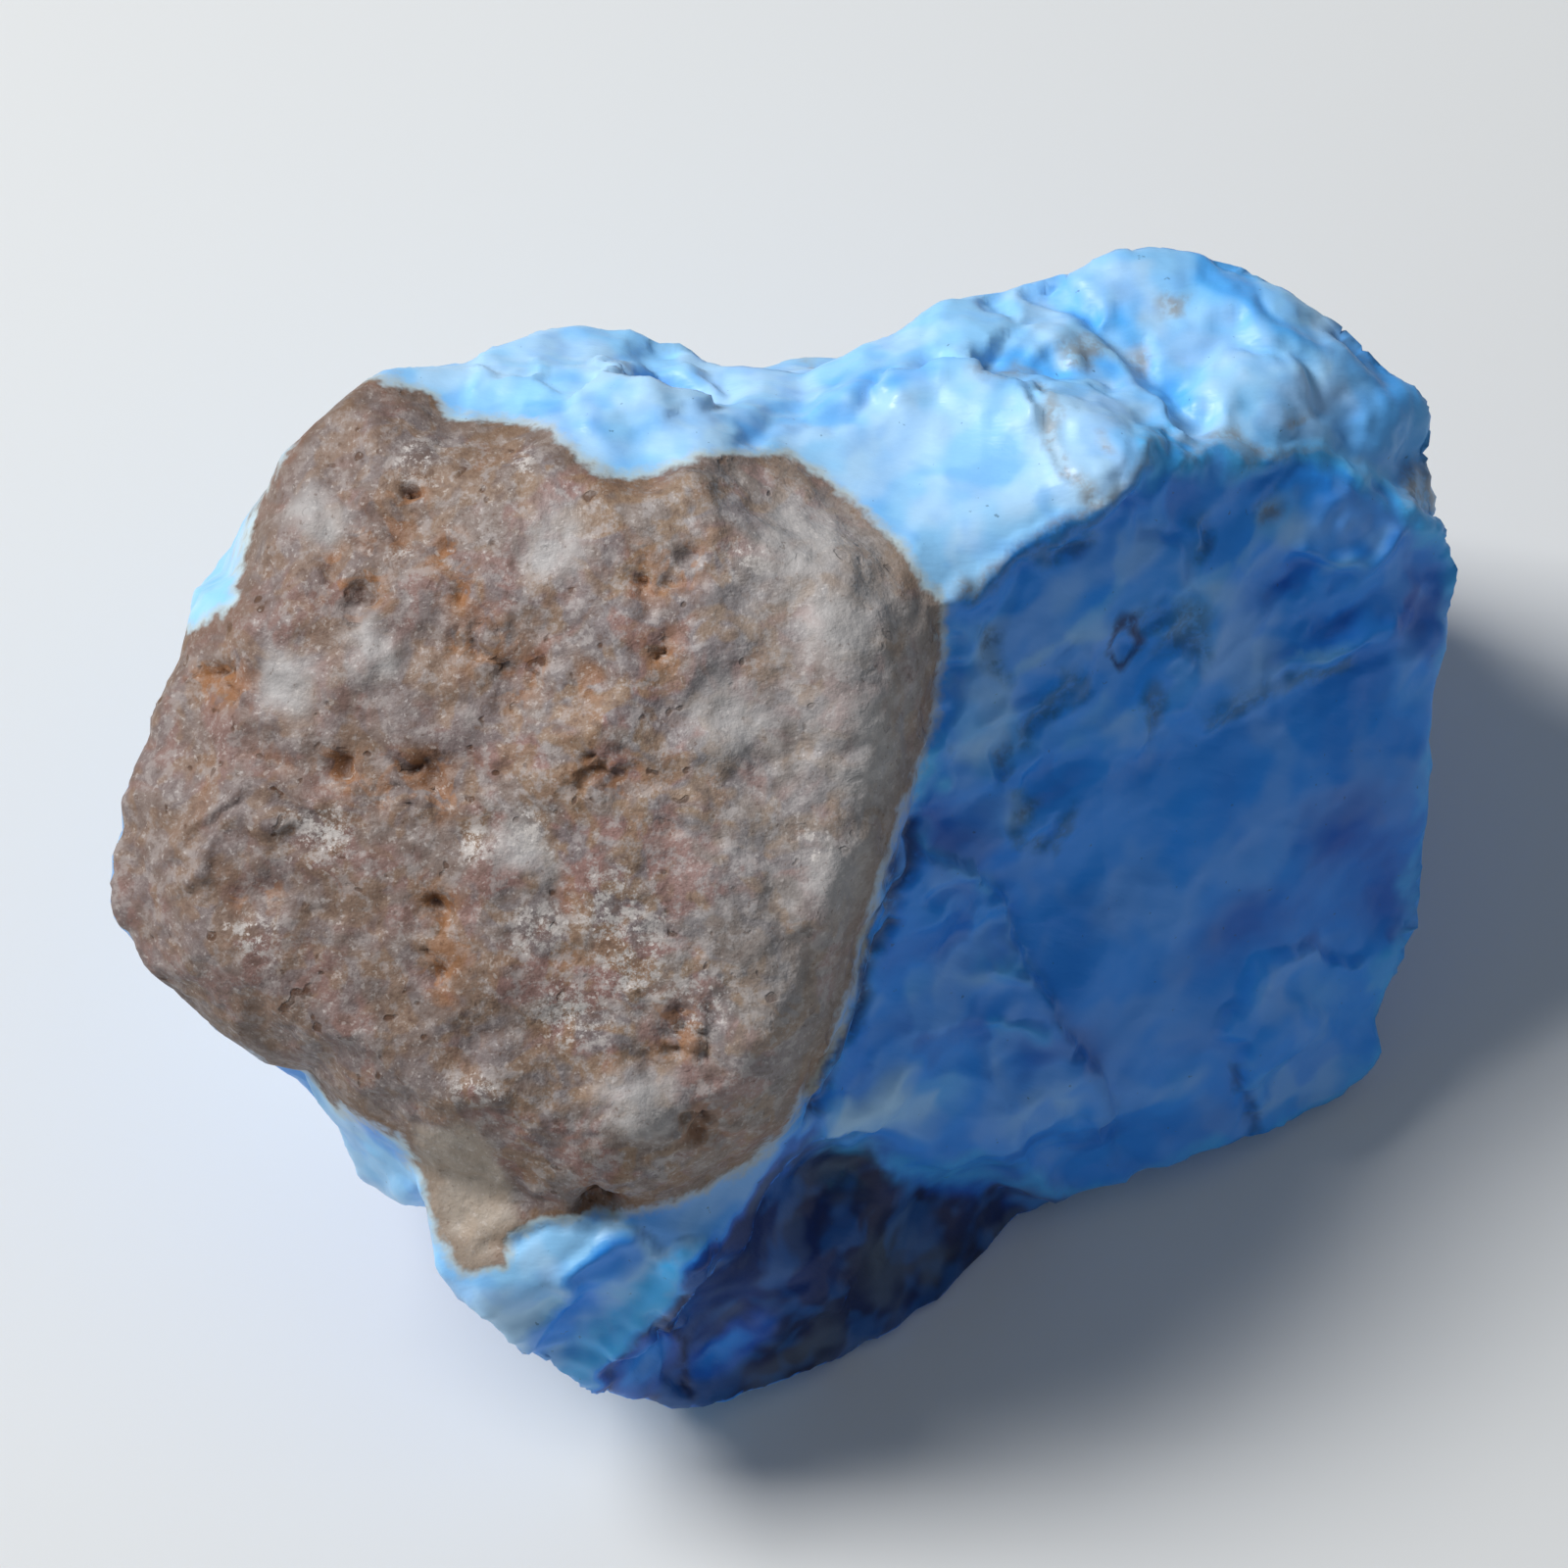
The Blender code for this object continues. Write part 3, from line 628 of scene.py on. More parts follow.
holes = fade(wobble(skin, 0.75, 5.0), 0.10, 0.34) + 0.6 * fade(wobble(skin, 1.4, 9.0), 0.12, 0.38)
lift -= 0.42 * pitted * holes * (edge > 0) * toward_eye
groove([(-24.1, 1.6), (-20.2, 0.6), (-16.2, 0.4), (-11.7, 1.1), (-7.2, 0.0)], 1.8, 0.35)
for path in (
    [(-27.6, -3.1), (-27.0, -1.8), (-25.2, -0.7), (-22.9, -0.5), (-21.7, -1.0)],
    [(-27.2, -4.6), (-26.3, -2.7), (-24.8, -1.8), (-22.5, -1.7)],
):
    groove(path, 0.65, -0.35)
for place, radius, depth, stretch, turn in (
    ((-6.3, -15.0), 3.0, -0.60, (1.2, 0.9), 30), ((2.6, 5.0), 4.0, -0.50, (0.8, 1.4), 0),
    ((-14.4, -13.9), 2.0, -0.40, (1.0, 1.0), 0), ((-19.0, 6.0), 2.4, -0.40, (1.3, 0.8), 30),
    ((-22.0, 12.4), 2.2, -0.40, (0.8, 1.3), -20), ((-13.4, -3.6), 2.6, -0.35, (1.2, 0.9), 30),
    ((-25.0, -5.2), 2.2, 0.40, (1.2, 0.9), 0), ((-9.6, 4.2), 2.2, 0.35, (0.8, 1.4), 10),
):
    hollow(place, radius, depth, stretch, turn)
relief += np.where(edge > 0, lift, 0)
print("rind relief from", round(relief.min(), 2), "to", round(relief.max(), 2), "mm")

# %% Move the skin, and keep it on the table
skin += facing * (lift * fade(read(stone)[:, 2] / MM, 0.1, 0.8))[:, None]
placed = to_stone(skin)
placed[:, 2] = placed[:, 2].clip(0, None)
stone.data.vertices.foreach_set("co", placed.astype(np.float32).ravel())
stone.data.update()
print("stone spans", ((placed.max(0) - placed.min(0)) / MM).round(1), "mm")

# %% [markdown]
# ## Where each colour goes
#
# Opal has no single colour, and here light and shade are painted into it as well. The parts turned
# to the left and top, towards the lamp, are painted milky and light, as painted light. The big
# broken face is a deep cornflower blue, partly its own colour and partly painted shade; the foot's
# side away from the lamp and the hollow under the big face are painted near navy as painted shade;
# thin edges are painted a lighter turquoise as painted light; and the channels are painted bluer as
# painted shade and hold rusty and mossy flecks. These are places, not patterns, so each becomes one
# number per point of the mesh: an attribute that the material reads. The fine pattern inside each
# zone is left to noise in the material.

# %% A painter for zones, lines and spots
sheet = bent_sheet(skin)
facing = read(stone, "normal") @ TURN
toward_eye = fade(facing[:, 2], -0.05, 0.15) * in_sight(skin)


def paint(field, amount, value):
    """Moves a field towards a value where the amount is 1."""
    amount = amount * toward_eye
    field[:] = field * (1 - amount) + value * amount


def zone(outline, soft):
    return fade(edge_distance(sheet, outline), -soft, soft)


# %% How deep the blue is: the opal's own colour, with painted light and shade
FACE_OUTLINE = RIDGE_LINE + [
    (36.0, 8.0), (36.0, -24.0), (14.0, -24.0), (12.6, -18.4), (9.0, -17.9), (5.9, -17.9),
    (2.2, -16.4),
] + RIND_GROOVE[::-1]
deep = np.full(len(skin), 0.55)
# Painted light: skin turned up and to the left, towards the window lamp, is made lighter
lamp_side_light = fade(facing @ (-0.55, 0.62, 0.56), 0.15, 0.75)
deep -= 0.45 * lamp_side_light
# Partly the opal's milky colour, partly painted light: the top band and the far side, which face the lamp,
# are painted milky
paint(
    deep,
    zone([(-22, 22), (-22, 14), (-10, 12), (8, 6), (18, 14), (34, 12), (36, 30), (0, 32)], 1.0),
    0.02,
)
# Painted shade: bluer strips along the grooves of the top band
for path, width in (
    ([(-1.6, 16.4), (1.8, 17.5), (5.9, 18.7)], 1.6), ([(3.6, 12.4), (5.6, 16.0)], 1.8),
    ([(-11.5, 16.9), (-9.0, 16.6), (-7.4, 15.2)], 1.0),
):
    paint(deep, stroke(path, width) * 0.7, 0.34)
# Partly the opal's own colour, partly painted shade: the big face, which lies in the lamp's shade, is
# painted a deep blue
paint(deep, zone(FACE_OUTLINE, 0.35), 0.82)
UPPER_FACE = [(7.4, 7.6), (14, 12), (20, 14.4), (30, 11), (29, 7.5), (21.5, 3.8), (11.2, 0.8), (7.0, 2.0)]
paint(deep, zone(UPPER_FACE, 1.6), 0.70)
paint(deep, zone([(20.6, -8.2), (29.5, -7.9), (29.0, -15), (21.4, -15.6)], 0.8), 0.70)
paint(deep, spot((6.0, -14.6), 3.0, (1.8, 0.8), 20), 0.55)
# Painted shade: a deeper blue in the dishes of the big face
for place, radius, stretch, turn in (
    ((23.0, 9.6), 3.0, (1.6, 0.8), 20), ((25.8, 7.7), 3.0, (1.8, 0.7), 20),
    ((29.6, 8.6), 3.2, (0.9, 1.4), 10), ((27.8, -5.4), 3.6, (1.0, 1.3), 0),
    ((21.0, -6.3), 3.0, (1.8, 0.8), 35), ((7.2, -2.4), 3.4, (1.2, 0.9), -20),
    ((11.6, -13.0), 3.0, (1.4, 0.8), 20), ((26.0, -2.0), 3.0, (1.3, 0.9), 40),
):
    paint(deep, spot(place, radius, stretch, turn) * 0.85, 1.0)
# Painted light: the foot's facets turned towards the lamp are painted the lightest milky blue
paint(
    deep,
    zone([(-17.4, -19.5), (-16.4, -23.6), (-12.6, -26.6), (-9.2, -22.3), (-7.0, -20.2), (-10, -19)], 0.5),
    -0.10,
)
# Painted light: a light stripe across the foot, where a facet catches the lamp
FOOT_STRIPE = [
    (-12.4, -26.2), (-9.2, -22.4), (-6.8, -20.4), (-4.0, -21.3), (-5.2, -23.6), (-7.2, -25.6),
    (-9.9, -28.4),
]
paint(deep, zone(FOOT_STRIPE, 0.4), 0.30)
# Painted shade: the foot's side turned away from the lamp is painted near navy
FOOT_PAINTED_SHADE = [
    (-9.9, -28.6), (-7.2, -25.8), (-5.2, -23.8), (-3.8, -21.2), (1.4, -15.4), (9.0, -20.6),
    (14, -24), (4, -34), (-8, -33),
]
# Painted shade: a darker band along the foot's shadowed facet
paint(deep, stroke([(-7.4, -21.2), (-9.2, -23.6), (-11.6, -26.4)], 1.5), 0.78)
paint(deep, zone(FOOT_PAINTED_SHADE, 0.4), 1.24)
# Painted light: lighter patches on the lit facets and swellings of the big face
for place, radius, stretch, turn, value in (
    ((9.0, 2.2), 2.6, (0.8, 1.5), -10, 0.52), ((8.6, 6.6), 2.0, (0.8, 1.4), 40, 0.62),
    ((13.6, 8.6), 2.4, (1.4, 0.8), 40, 0.64), ((19.8, 8.6), 2.6, (1.5, 0.8), 40, 0.62),
    ((14.6, 3.6), 2.0, (1.6, 0.6), 45, 0.60), ((26.6, 10.6), 1.8, (1.7, 0.5), 30, 0.52),
    ((24.9, 6.3), 1.6, (2.0, 0.4), 20, 0.50), ((29.0, 4.6), 1.8, (0.8, 1.6), 10, 0.62),
    ((11.0, -1.2), 1.3, (1.4, 0.8), 40, 0.52), ((5.0, -9.6), 2.4, (1.5, 0.8), 30, 0.64),
    ((7.4, -13.0), 2.6, (1.5, 0.8), 20, 0.60), ((12.0, -15.0), 3.0, (1.5, 0.8), 10, 0.62),
    ((3.6, -14.9), 2.2, (1.7, 0.7), 22, 0.26), ((24.6, -9.6), 2.8, (1.3, 0.9), 10, 0.56),
    ((15.0, -4.0), 4.0, (1.6, 0.9), 45, 0.78), ((22.6, 12.2), 2.0, (1.5, 0.8), 10, 0.60),
    ((18.6, -13.6), 2.2, (1.5, 0.8), 10, 0.64), ((9.6, -8.6), 1.4, (1.6, 0.6), 20, 0.60),
):
    paint(deep, spot(place, radius, stretch, turn) * 0.85, value)
# Painted light: two lit patches within the foot's painted shade
paint(deep, spot((-6.4, -26.9), 1.9, (1.4, 0.7), 50) * 0.8, 0.55)
paint(deep, spot((-2.6, -25.8), 2.0, (1.6, 0.6), 30) * 0.7, 0.62)
# Painted light: the far lobe is painted milky, and its right side, turned from the lamp, a light sky blue
LOBE = [
    (8.5, 20.0), (15.0, 19.0), (18.6, 16.4), (22.5, 16.0), (25.2, 15.6), (26.0, 18.5), (22.0, 26.0),
    (8.0, 26.0),
]
paint(deep, zone(LOBE, 0.9), 0.05)
paint(
    deep,
    zone([(25.2, 15.6), (29.5, 13.0), (32.0, 16.0), (28.0, 24.0), (24.0, 26.0), (26.0, 18.5)], 1.0),
    0.34,
)
# Painted shade: the channels over the far lobe are painted bluer
for path, width in (
    ([(11.5, 23.0), (14.4, 21.5), (17.0, 19.4), (18.8, 17.2)], 1.2),
    ([(9.3, 19.8), (13.9, 19.3), (17.6, 17.4)], 0.9),
    ([(19.5, 23.6), (22.6, 21.2), (26.4, 19.6)], 1.0),
    ([(25.6, 21.4), (27.8, 18.0), (29.0, 14.5)], 1.2),
):
    paint(deep, stroke(path, width) * 0.70, 0.50)
# Painted light: the sliver low on the left, turned towards the lamp, is painted milky
paint(
    deep,
    zone([(-22.0, -13.6), (-16.2, -17.6), (-16.4, -21.0), (-19.0, -20.0), (-24.0, -14.0)], 0.5),
    0.0,
)
# Painted shade: the hollow under the big face's lower edge is painted near navy
SHADED_UNDERCUT = [
    (1.8, -16.2), (5.9, -18.0), (9.0, -18.0), (13.0, -18.8), (14.0, -21.0), (5.0, -23.0), (-1.6, -19.8),
]
paint(deep, zone(SHADED_UNDERCUT, 1.1), 1.26)
# Painted shade: each chip's random lightness stands for the shading of its facet
deep += 0.10 * evened(stone, painted_chip_shade, 2)
# Painted light: the big face's marks that are lighter than its middle tone, its lit facets, are
# made a little lighter still
FACE_MIDDLE_TONE = 0.82
face_painted_light = np.minimum(deep - FACE_MIDDLE_TONE, 0.0)
deep += 0.45 * face_painted_light * zone(FACE_OUTLINE, 0.35) * toward_eye
print("deep blue on", round(float((deep > 0.7).mean()) * 100), "% of the points")

# %% Where thin edges get painted light, where flecks and stains sit, and where cracks and painted shadow lines run
glow = np.zeros(len(skin))
# Painted light: the ridge, thin edges, the foot's stripe and the lobe's edges are painted turquoise
paint(glow, stroke(RIDGE_LINE[5:], 1.3) * 0.9, 1.0)
paint(glow, stroke([(7.3, 1.6), (6.9, 0.6), (6.3, -0.6)], 0.7), 1.0)
paint(glow, stroke([(17.2, 15.8), (17.0, 14.6), (16.6, 14.0)], 1.1) * 0.8, 1.0)
paint(
    glow,
    zone([(-10.6, -27.8), (-8.8, -25.0), (-6.4, -21.8), (-4.0, -21.0), (-5.0, -23.8), (-7.2, -26.0)], 0.35),
    1.0,
)
paint(glow, stroke([(11.1, 23.3), (13.9, 21.5), (16.6, 20.3), (18.9, 17.3), (22.2, 15.9)], 1.4) * 0.4, 1.0)
paint(glow, stroke([(9.3, 19.9), (13.9, 19.2), (18.3, 16.4)], 1.1) * 0.35, 1.0)
paint(glow, stroke([(19.5, 22.8), (22.4, 20.4), (27.5, 19.0), (29.6, 14.6)], 1.8) * 0.35, 1.0)

# Painted light: a lit line along the right rim, and lit teeth on the big face's ledges
RIGHT_RIM = STONE_OUTLINE[:11] + [(9.0, -17.7), (5.9, -17.8), (2.2, -16.4)]
paint(glow, stroke(RIGHT_RIM, 0.9) * 0.6, 1.0)
for path in (
    [(9.2, -8.0), (11.2, -8.3)], [(9.4, -10.9), (11.7, -11.6)],
    [(6.4, -1.6), (6.6, -3.4), (9.2, -4.6)], [(4.6, -5.2), (3.8, -9.2), (2.2, -13.6)],
):
    paint(glow, stroke(path, 0.7) * 0.45, 1.0)

stain = np.zeros(len(skin))
for place, radius, stretch, turn in (
    ((10.1, 19.0), 1.3, (2.0, 0.5), 0), ((14.0, 19.9), 1.4, (1.6, 0.6), -20),
    ((16.6, 19.4), 1.2, (0.8, 1.4), 30), ((18.2, 22.0), 1.0, (1.4, 0.6), 20),
    ((14.7, 15.7), 0.8, (0.7, 1.3), 20), ((-5.0, 20.2), 0.9, (1.8, 0.5), 0),
    ((20.6, 15.9), 1.2, (2.2, 0.5), 0), ((29.2, 13.5), 1.8, (0.8, 1.2), 0),
    ((22.4, 12.6), 1.0, (1.6, 0.8), 60), ((9.6, 6.0), 1.0, (0.8, 1.4), 20),
    ((12.1, 3.3), 1.0, (1.8, 0.6), 50), ((17.4, 3.3), 0.9, (1.8, 0.5), 60),
    ((21.0, 3.6), 0.9, (1.8, 0.6), 25), ((24.6, 5.2), 1.0, (2.2, 0.4), 15),
    ((10.0, 1.0), 0.9, (0.6, 1.6), 20), ((11.2, -1.0), 1.0, (1.2, 0.8), 0),
    ((18.2, 6.6), 1.4, (1.4, 0.8), 60), ((2.4, -18.4), 1.2, (1.2, 0.9), 0),
    ((26.0, 20.0), 0.9, (1.6, 0.6), -20), ((23.8, 17.0), 0.8, (1.6, 0.5), 0),
    ((8.4, 9.1), 0.9, (2.0, 0.4), 42),
):
    paint(stain, spot(place, radius, stretch, turn), 1.0)

for path, width in (
    ([(10.8, 1.9), (11.9, 3.3), (13.0, 4.6)], 0.8), ([(16.5, 2.0), (17.5, 3.8)], 0.7),
    ([(19.9, 3.1), (22.0, 4.3)], 1.0), ([(23.2, 4.6), (26.0, 5.6)], 0.8),
    ([(9.8, 1.6), (10.1, 0.2)], 0.7), ([(10.8, -2.0), (12.4, -3.0), (13.2, -1.2)], 0.7),
    ([(12.2, 10.2), (13.6, 10.9)], 1.0), ([(18.7, 12.2), (18.9, 10.4)], 0.9),
    ([(16.4, 7.7), (19.0, 7.7), (19.2, 6.2)], 0.9), ([(9.2, 6.8), (9.9, 5.0)], 1.0),
    ([(8.4, 9.2), (12.4, 11.2), (14.6, 12.8)], 0.8),
):
    paint(stain, stroke(path, width) * 0.8, 1.0)

out_of_sight = fade(toward_eye, 0.3, 0.0)
paint(stain, stroke(KNOB_CRACK, 0.7), 0.9)
paint(stain, stroke(RIDGE_LINE[3:9], 0.8) * 0.5, 1.0)
streaks = fade(np.abs(wobble(skin, 6.0, 31.0)), 0.05, 0.01) * fade(wobble(skin, 9.0, 61.0), 0.0, 0.2)
stain = np.maximum(stain, 0.7 * streaks * out_of_sight)
deep += 0.5 * wobble(skin, 11.0, 19.0) * out_of_sight

crack_and_shadow = np.zeros(len(skin))
paint(crack_and_shadow, stroke(RIND_GROOVE[3:], 0.75), 1.0)
# Painted shadow: a faint dark line at the foot of the big face's ledge
paint(crack_and_shadow, stroke(FACE_LEDGE[1:], 0.8) * 0.15, 1.0)
paint(crack_and_shadow, stroke([(-5.2, -24.3), (-4.7, -25.8), (-4.3, -28.2)], 0.5), 1.0)
paint(crack_and_shadow, stroke([(21.0, -13.2), (21.3, -14.4), (21.2, -15.6)], 0.5) * 0.6, 1.0)
# Painted shade: a faint darker line in the crease at the top of the foot
paint(
    crack_and_shadow,
    stroke([(-13.0, -21.2), (-11.2, -20.5), (-9.9, -20.0), (-7.2, -19.9), (-4.5, -21.2)], 0.45),
    0.3,
)
ring = np.abs(np.linalg.norm((sheet - (15.9, 6.4)) / (0.75, 1.1), axis=1) - 1.0)
paint(crack_and_shadow, fade(ring, 0.38, 0.0), 1.0)
print("stained points:", int((stain > 0.3).sum()), "cracked points:", int((crack_and_shadow > 0.3).sum()))

# %% Rust round the rind's pits, and chalky crust
rust = np.zeros(len(skin))
for right, up, radius, _ in RIND_PITS:
    paint(rust, spot((right, up), radius + 0.9) * 0.9, 1.0)
paint(rust, pitted * 0.55, 1.0)
tongue = zone(
    [(-17.0, -15.6), (-13.0, -16.4), (-12.6, -20.6), (-13.2, -22.4), (-15.2, -22.8), (-17.4, -20.0)],
    0.5,
)
paint(rust, tongue * 0.8, 0.62)
chalk = np.zeros(len(skin))
for right, up, radius in (
    (-12.1, 14.8, 1.0), (-17.9, 11.3, 1.0), (-1.7, 10.8, 1.5), (-21.4, -2.4, 2.4), (-24.1, -6.8, 1.8),
    (-14.1, -2.4, 1.6), (-11.4, -2.2, 1.6), (-7.4, -6.2, 3.2), (-11.2, -6.4, 2.0), (-9.8, -10.5, 2.2),
    (-3.6, -10.3, 2.4), (-14.4, -13.9, 1.6), (-6.6, -8.6, 2.6), (1.0, -2.4, 1.6), (-16.6, 14.6, 1.6),
):
    paint(chalk, spot((right, up), radius), 1.0)
waxy_and_lit = np.zeros(len(skin))
# Painted light: the rind's right side, which the lamp lights less, is painted towards the light wax tone
paint(waxy_and_lit, fade(sheet[:, 0], -9.0, 5.0) * 0.55, 1.0)
for right, up, radius in (
    (3.1, 7.1, 3.4), (3.4, 1.9, 3.6), (0.6, 11.2, 3.0), (-2.4, 3.0, 3.0), (2.4, -4.0, 3.0),
    (-10.8, 11.0, 2.6), (-21.7, 12.2, 2.2), (-6.3, -14.8, 2.8), (-22.5, 4.5, 2.4),
    (-18.9, 6.0, 2.2), (-12.0, -3.0, 2.0),
):
    paint(waxy_and_lit, spot((right, up), radius) * 1.4, 1.0)
paint(waxy_and_lit, tongue * 0.9, 1.0)
print("rusty points:", int((rust > 0.3).sum()), "chalky points:", int((chalk > 0.3).sum()))

# %% Write the fields on the mesh


def attribute(target, name, values):
    made = target.data.attributes.new(name, "FLOAT", "POINT")
    made.data.foreach_set("value", values.astype(np.float32))


edge = rind_edge_of(stone)
for name, values in (
    ("rind_edge", edge.clip(-5, 5)), ("relief", relief.clip(-1.5, 1.5)),
    ("deep", deep.clip(-0.2, 1.4)), ("glow", glow.clip(0, 1)), ("stain", stain.clip(0, 1)),
    ("crack_and_shadow", crack_and_shadow.clip(0, 1)), ("rust", rust.clip(0, 1)), ("chalk", chalk.clip(0, 1)),
    ("waxy_and_lit", waxy_and_lit.clip(0, 1)), ("tongue", 0.6 * tongue),
):
    attribute(stone, name, values)
print("attributes:", [item.name for item in stone.data.attributes if item.data_type == "FLOAT"])

# %% [markdown]
# ## Small tools for building a material
#
# A procedural material is a chain of nodes. Naming each node and wiring it in one line keeps the
# chain readable. Colours are given as they look on a screen, from 0 to 255, and turned into the
# linear values that the renderer works with.

# %% Node helpers


def tone(red, green, blue):
    """A screen colour as linear values, with full alpha."""
    linear = []
    for c in (red / 255, green / 255, blue / 255):
        linear.append(c / 12.92 if c <= 0.04045 else ((c + 0.055) / 1.055) ** 2.4)
    return (*linear, 1.0)


def add(tree, kind, label, inputs=None, **settings):
    made = tree.nodes.new(kind)
    made.name = made.label = label
    for name, value in settings.items():
        setattr(made, name, value)
    for socket, value in (inputs or {}).items():
        if isinstance(value, bpy.types.NodeSocket):
            tree.links.new(value, made.inputs[socket])
        else:
            made.inputs[socket].default_value = value
    return made


def number(tree, label, operation, first, second=0.0, clamp=False):
    return add(
        tree, "ShaderNodeMath", label, {0: first, 1: second}, operation=operation, use_clamp=clamp,
    ).outputs[0]


def ease(tree, label, value, none, full, low=0.0, high=1.0):
    """A smooth step from low to high as the value goes from none to full."""
    sockets = {"Value": value, "From Min": none, "From Max": full, "To Min": low, "To Max": high}
    return add(
        tree, "ShaderNodeMapRange", label, sockets, interpolation_type="SMOOTHSTEP",
    ).outputs["Result"]


def mix(tree, label, factor, first, second, blend_type="MIX"):
    made = add(tree, "ShaderNodeMix", label, data_type="RGBA", blend_type=blend_type)
    for index, value in ((0, factor), (6, first), (7, second)):
        if isinstance(value, bpy.types.NodeSocket):
            tree.links.new(value, made.inputs[index])
        else:
            made.inputs[index].default_value = value
    return made.outputs[2]


def field(tree, name):
    return add(tree, "ShaderNodeAttribute", name, attribute_name=name).outputs["Fac"]


def cloud(tree, label, place, size, detail=3.0, roughness=0.55, twist=0.0):
    """Soft noise whose features are about this many millimetres wide."""
    sockets = {
        "Vector": place, "Scale": 1000.0 / size, "Detail": detail, "Roughness": roughness,
        "Distortion": twist,
    }
    return add(tree, "ShaderNodeTexNoise", label, sockets).outputs["Fac"]


print("a middle grey is", [round(c, 3) for c in tone(128, 128, 128)])

# %% [markdown]
# ## A group for cloudy mixtures
#
# Both the milky opal and the rind are mixtures of a few tones in drifting patches, only at
# different sizes and with different softness. That is one idea used many times, so it becomes a
# node group: it takes a place, a size, a share and a softness, and puts out a mask.

# %% The drifting patches group


def drifting_patches():
    tree = bpy.data.node_groups.new("drifting_patches", "ShaderNodeTree")
    face = tree.interface
    face.new_socket("Place", in_out="INPUT", socket_type="NodeSocketVector")
    for name, start in (("Scale", 500.0), ("Share", 0.5), ("Softness", 0.1), ("Twist", 0.5)):
        face.new_socket(name, in_out="INPUT", socket_type="NodeSocketFloat").default_value = start
    face.new_socket("Mask", in_out="OUTPUT", socket_type="NodeSocketFloat")
    given = tree.nodes.new("NodeGroupInput").outputs
    sockets = {
        "Vector": given["Place"], "Scale": given["Scale"], "Detail": 2.0, "Roughness": 0.6,
        "Distortion": given["Twist"],
    }
    drift_noise = add(tree, "ShaderNodeTexNoise", "drift", sockets).outputs["Fac"]
    level = number(tree, "level", "SUBTRACT", 1.0, given["Share"])
    low = number(tree, "low", "SUBTRACT", level, given["Softness"])
    high = number(tree, "high", "ADD", level, given["Softness"])
    spread = ease(tree, "spread noise", drift_noise, 0.30, 0.70)
    made = ease(tree, "patch", spread, low, high)
    result = tree.nodes.new("NodeGroupOutput")
    tree.links.new(made, result.inputs["Mask"])
    return tree


PATCHES = drifting_patches()


def patches(tree, label, place, size, share=0.5, softness=0.12, twist=0.5):
    sockets = {"Place": place, "Scale": 1000.0 / size, "Share": share, "Softness": softness, "Twist": twist}
    made = tree.nodes.new("ShaderNodeGroup")
    made.node_tree = PATCHES
    made.name = made.label = label
    for name, value in sockets.items():
        if isinstance(value, bpy.types.NodeSocket):
            tree.links.new(value, made.inputs[name])
        else:
            made.inputs[name].default_value = value
    return made.outputs["Mask"]


print("group:", PATCHES.name, "with", len(PATCHES.nodes), "nodes")

# %% [markdown]
# ## The stone's material
#
# One material covers the stone, because rind and opal grew into each other. Its blue side starts
# from five tones that follow the depth field, from milky over sky, cornflower and deep to night,
# with white veils and clear patches drifting through. The depth field carries painted light and
# shade besides the opal's own colour, and the night tone serves the painted shade. Its thin edges
# only look lit: they are painted a lighter blue. Its rind side starts from tan, greyish rose and
# grey, with rust in the hollows, pin holes, smooth waxy domes, a chalky crust in places and bright
# grains of sand. Its left side is painted darker as painted shade, its right side lighter as painted
# light, and a darker brown band along its edge is painted shade. The distance to the rind's edge,
# shaken a little by noise, chooses between them and leaves a thin pale seam on the opal. Each noise
# has only as many octaves as show, because every octave is worked out again wherever a ray of light
# lands.

# %% Start the material and read the fields
material = bpy.data.materials.new("opal_and_rind")
material.use_nodes = True
tree = material.node_tree
shader = tree.nodes["Principled BSDF"]
place = add(tree, "ShaderNodeTexCoord", "place on the stone").outputs["Object"]
deep_field = field(tree, "deep")
edge_light_field = field(tree, "glow")
stain_field = field(tree, "stain")
crack_and_shadow_field = field(tree, "crack_and_shadow")
relief_field = field(tree, "relief")
edge_field = field(tree, "rind_edge")
print("material:", material.name)

# %% The blue side
MILKY = tone(150, 210, 254)
SKY = tone(98, 178, 248)
CORNFLOWER = tone(46, 148, 248)
DEEP = tone(4, 84, 188)
SHADE_NAVY = tone(3, 14, 50)
VEIL = tone(196, 228, 254)
EDGE_LIGHT_TURQUOISE = tone(80, 188, 255)
drift = cloud(tree, "slow drift", place, 7.0, 2.0, 0.5)
shaken_deep = number(
    tree, "shaken depth", "ADD", deep_field,
    number(tree, "drift shift", "MULTIPLY_ADD", drift, 0.30),
)
tree.nodes["drift shift"].inputs[2].default_value = -0.15
blue = mix(tree, "milky to sky", ease(tree, "sky share", shaken_deep, 0.02, 0.38), MILKY, SKY)
blue = mix(
    tree, "sky to cornflower", ease(tree, "cornflower share", shaken_deep, 0.36, 0.74), blue,
    CORNFLOWER,
)
blue = mix(tree, "cornflower to deep", ease(tree, "deep share", shaken_deep, 0.74, 1.06), blue, DEEP)
# Painted shade: the darkest navy, reached where the foot's shaded side and the undercut are painted
blue = mix(tree, "deep to night", ease(tree, "night share", shaken_deep, 1.02, 1.36), blue, SHADE_NAVY)
veil = patches(tree, "white veils", place, 5.0, 0.42, 0.28, 0.25)
veil_share = number(
    tree, "veil share", "MULTIPLY", veil,
    ease(tree, "veil where pale", deep_field, 0.95, 0.1, 0.10, 0.55),
)
blue = mix(tree, "veiled", veil_share, blue, VEIL)
clear = patches(tree, "clear patches", place, 3.0, 0.34, 0.28, 0.2)
clear_share = number(tree, "clear share", "MULTIPLY", clear, 0.20)
blue = mix(tree, "with clear patches", clear_share, blue, CORNFLOWER)
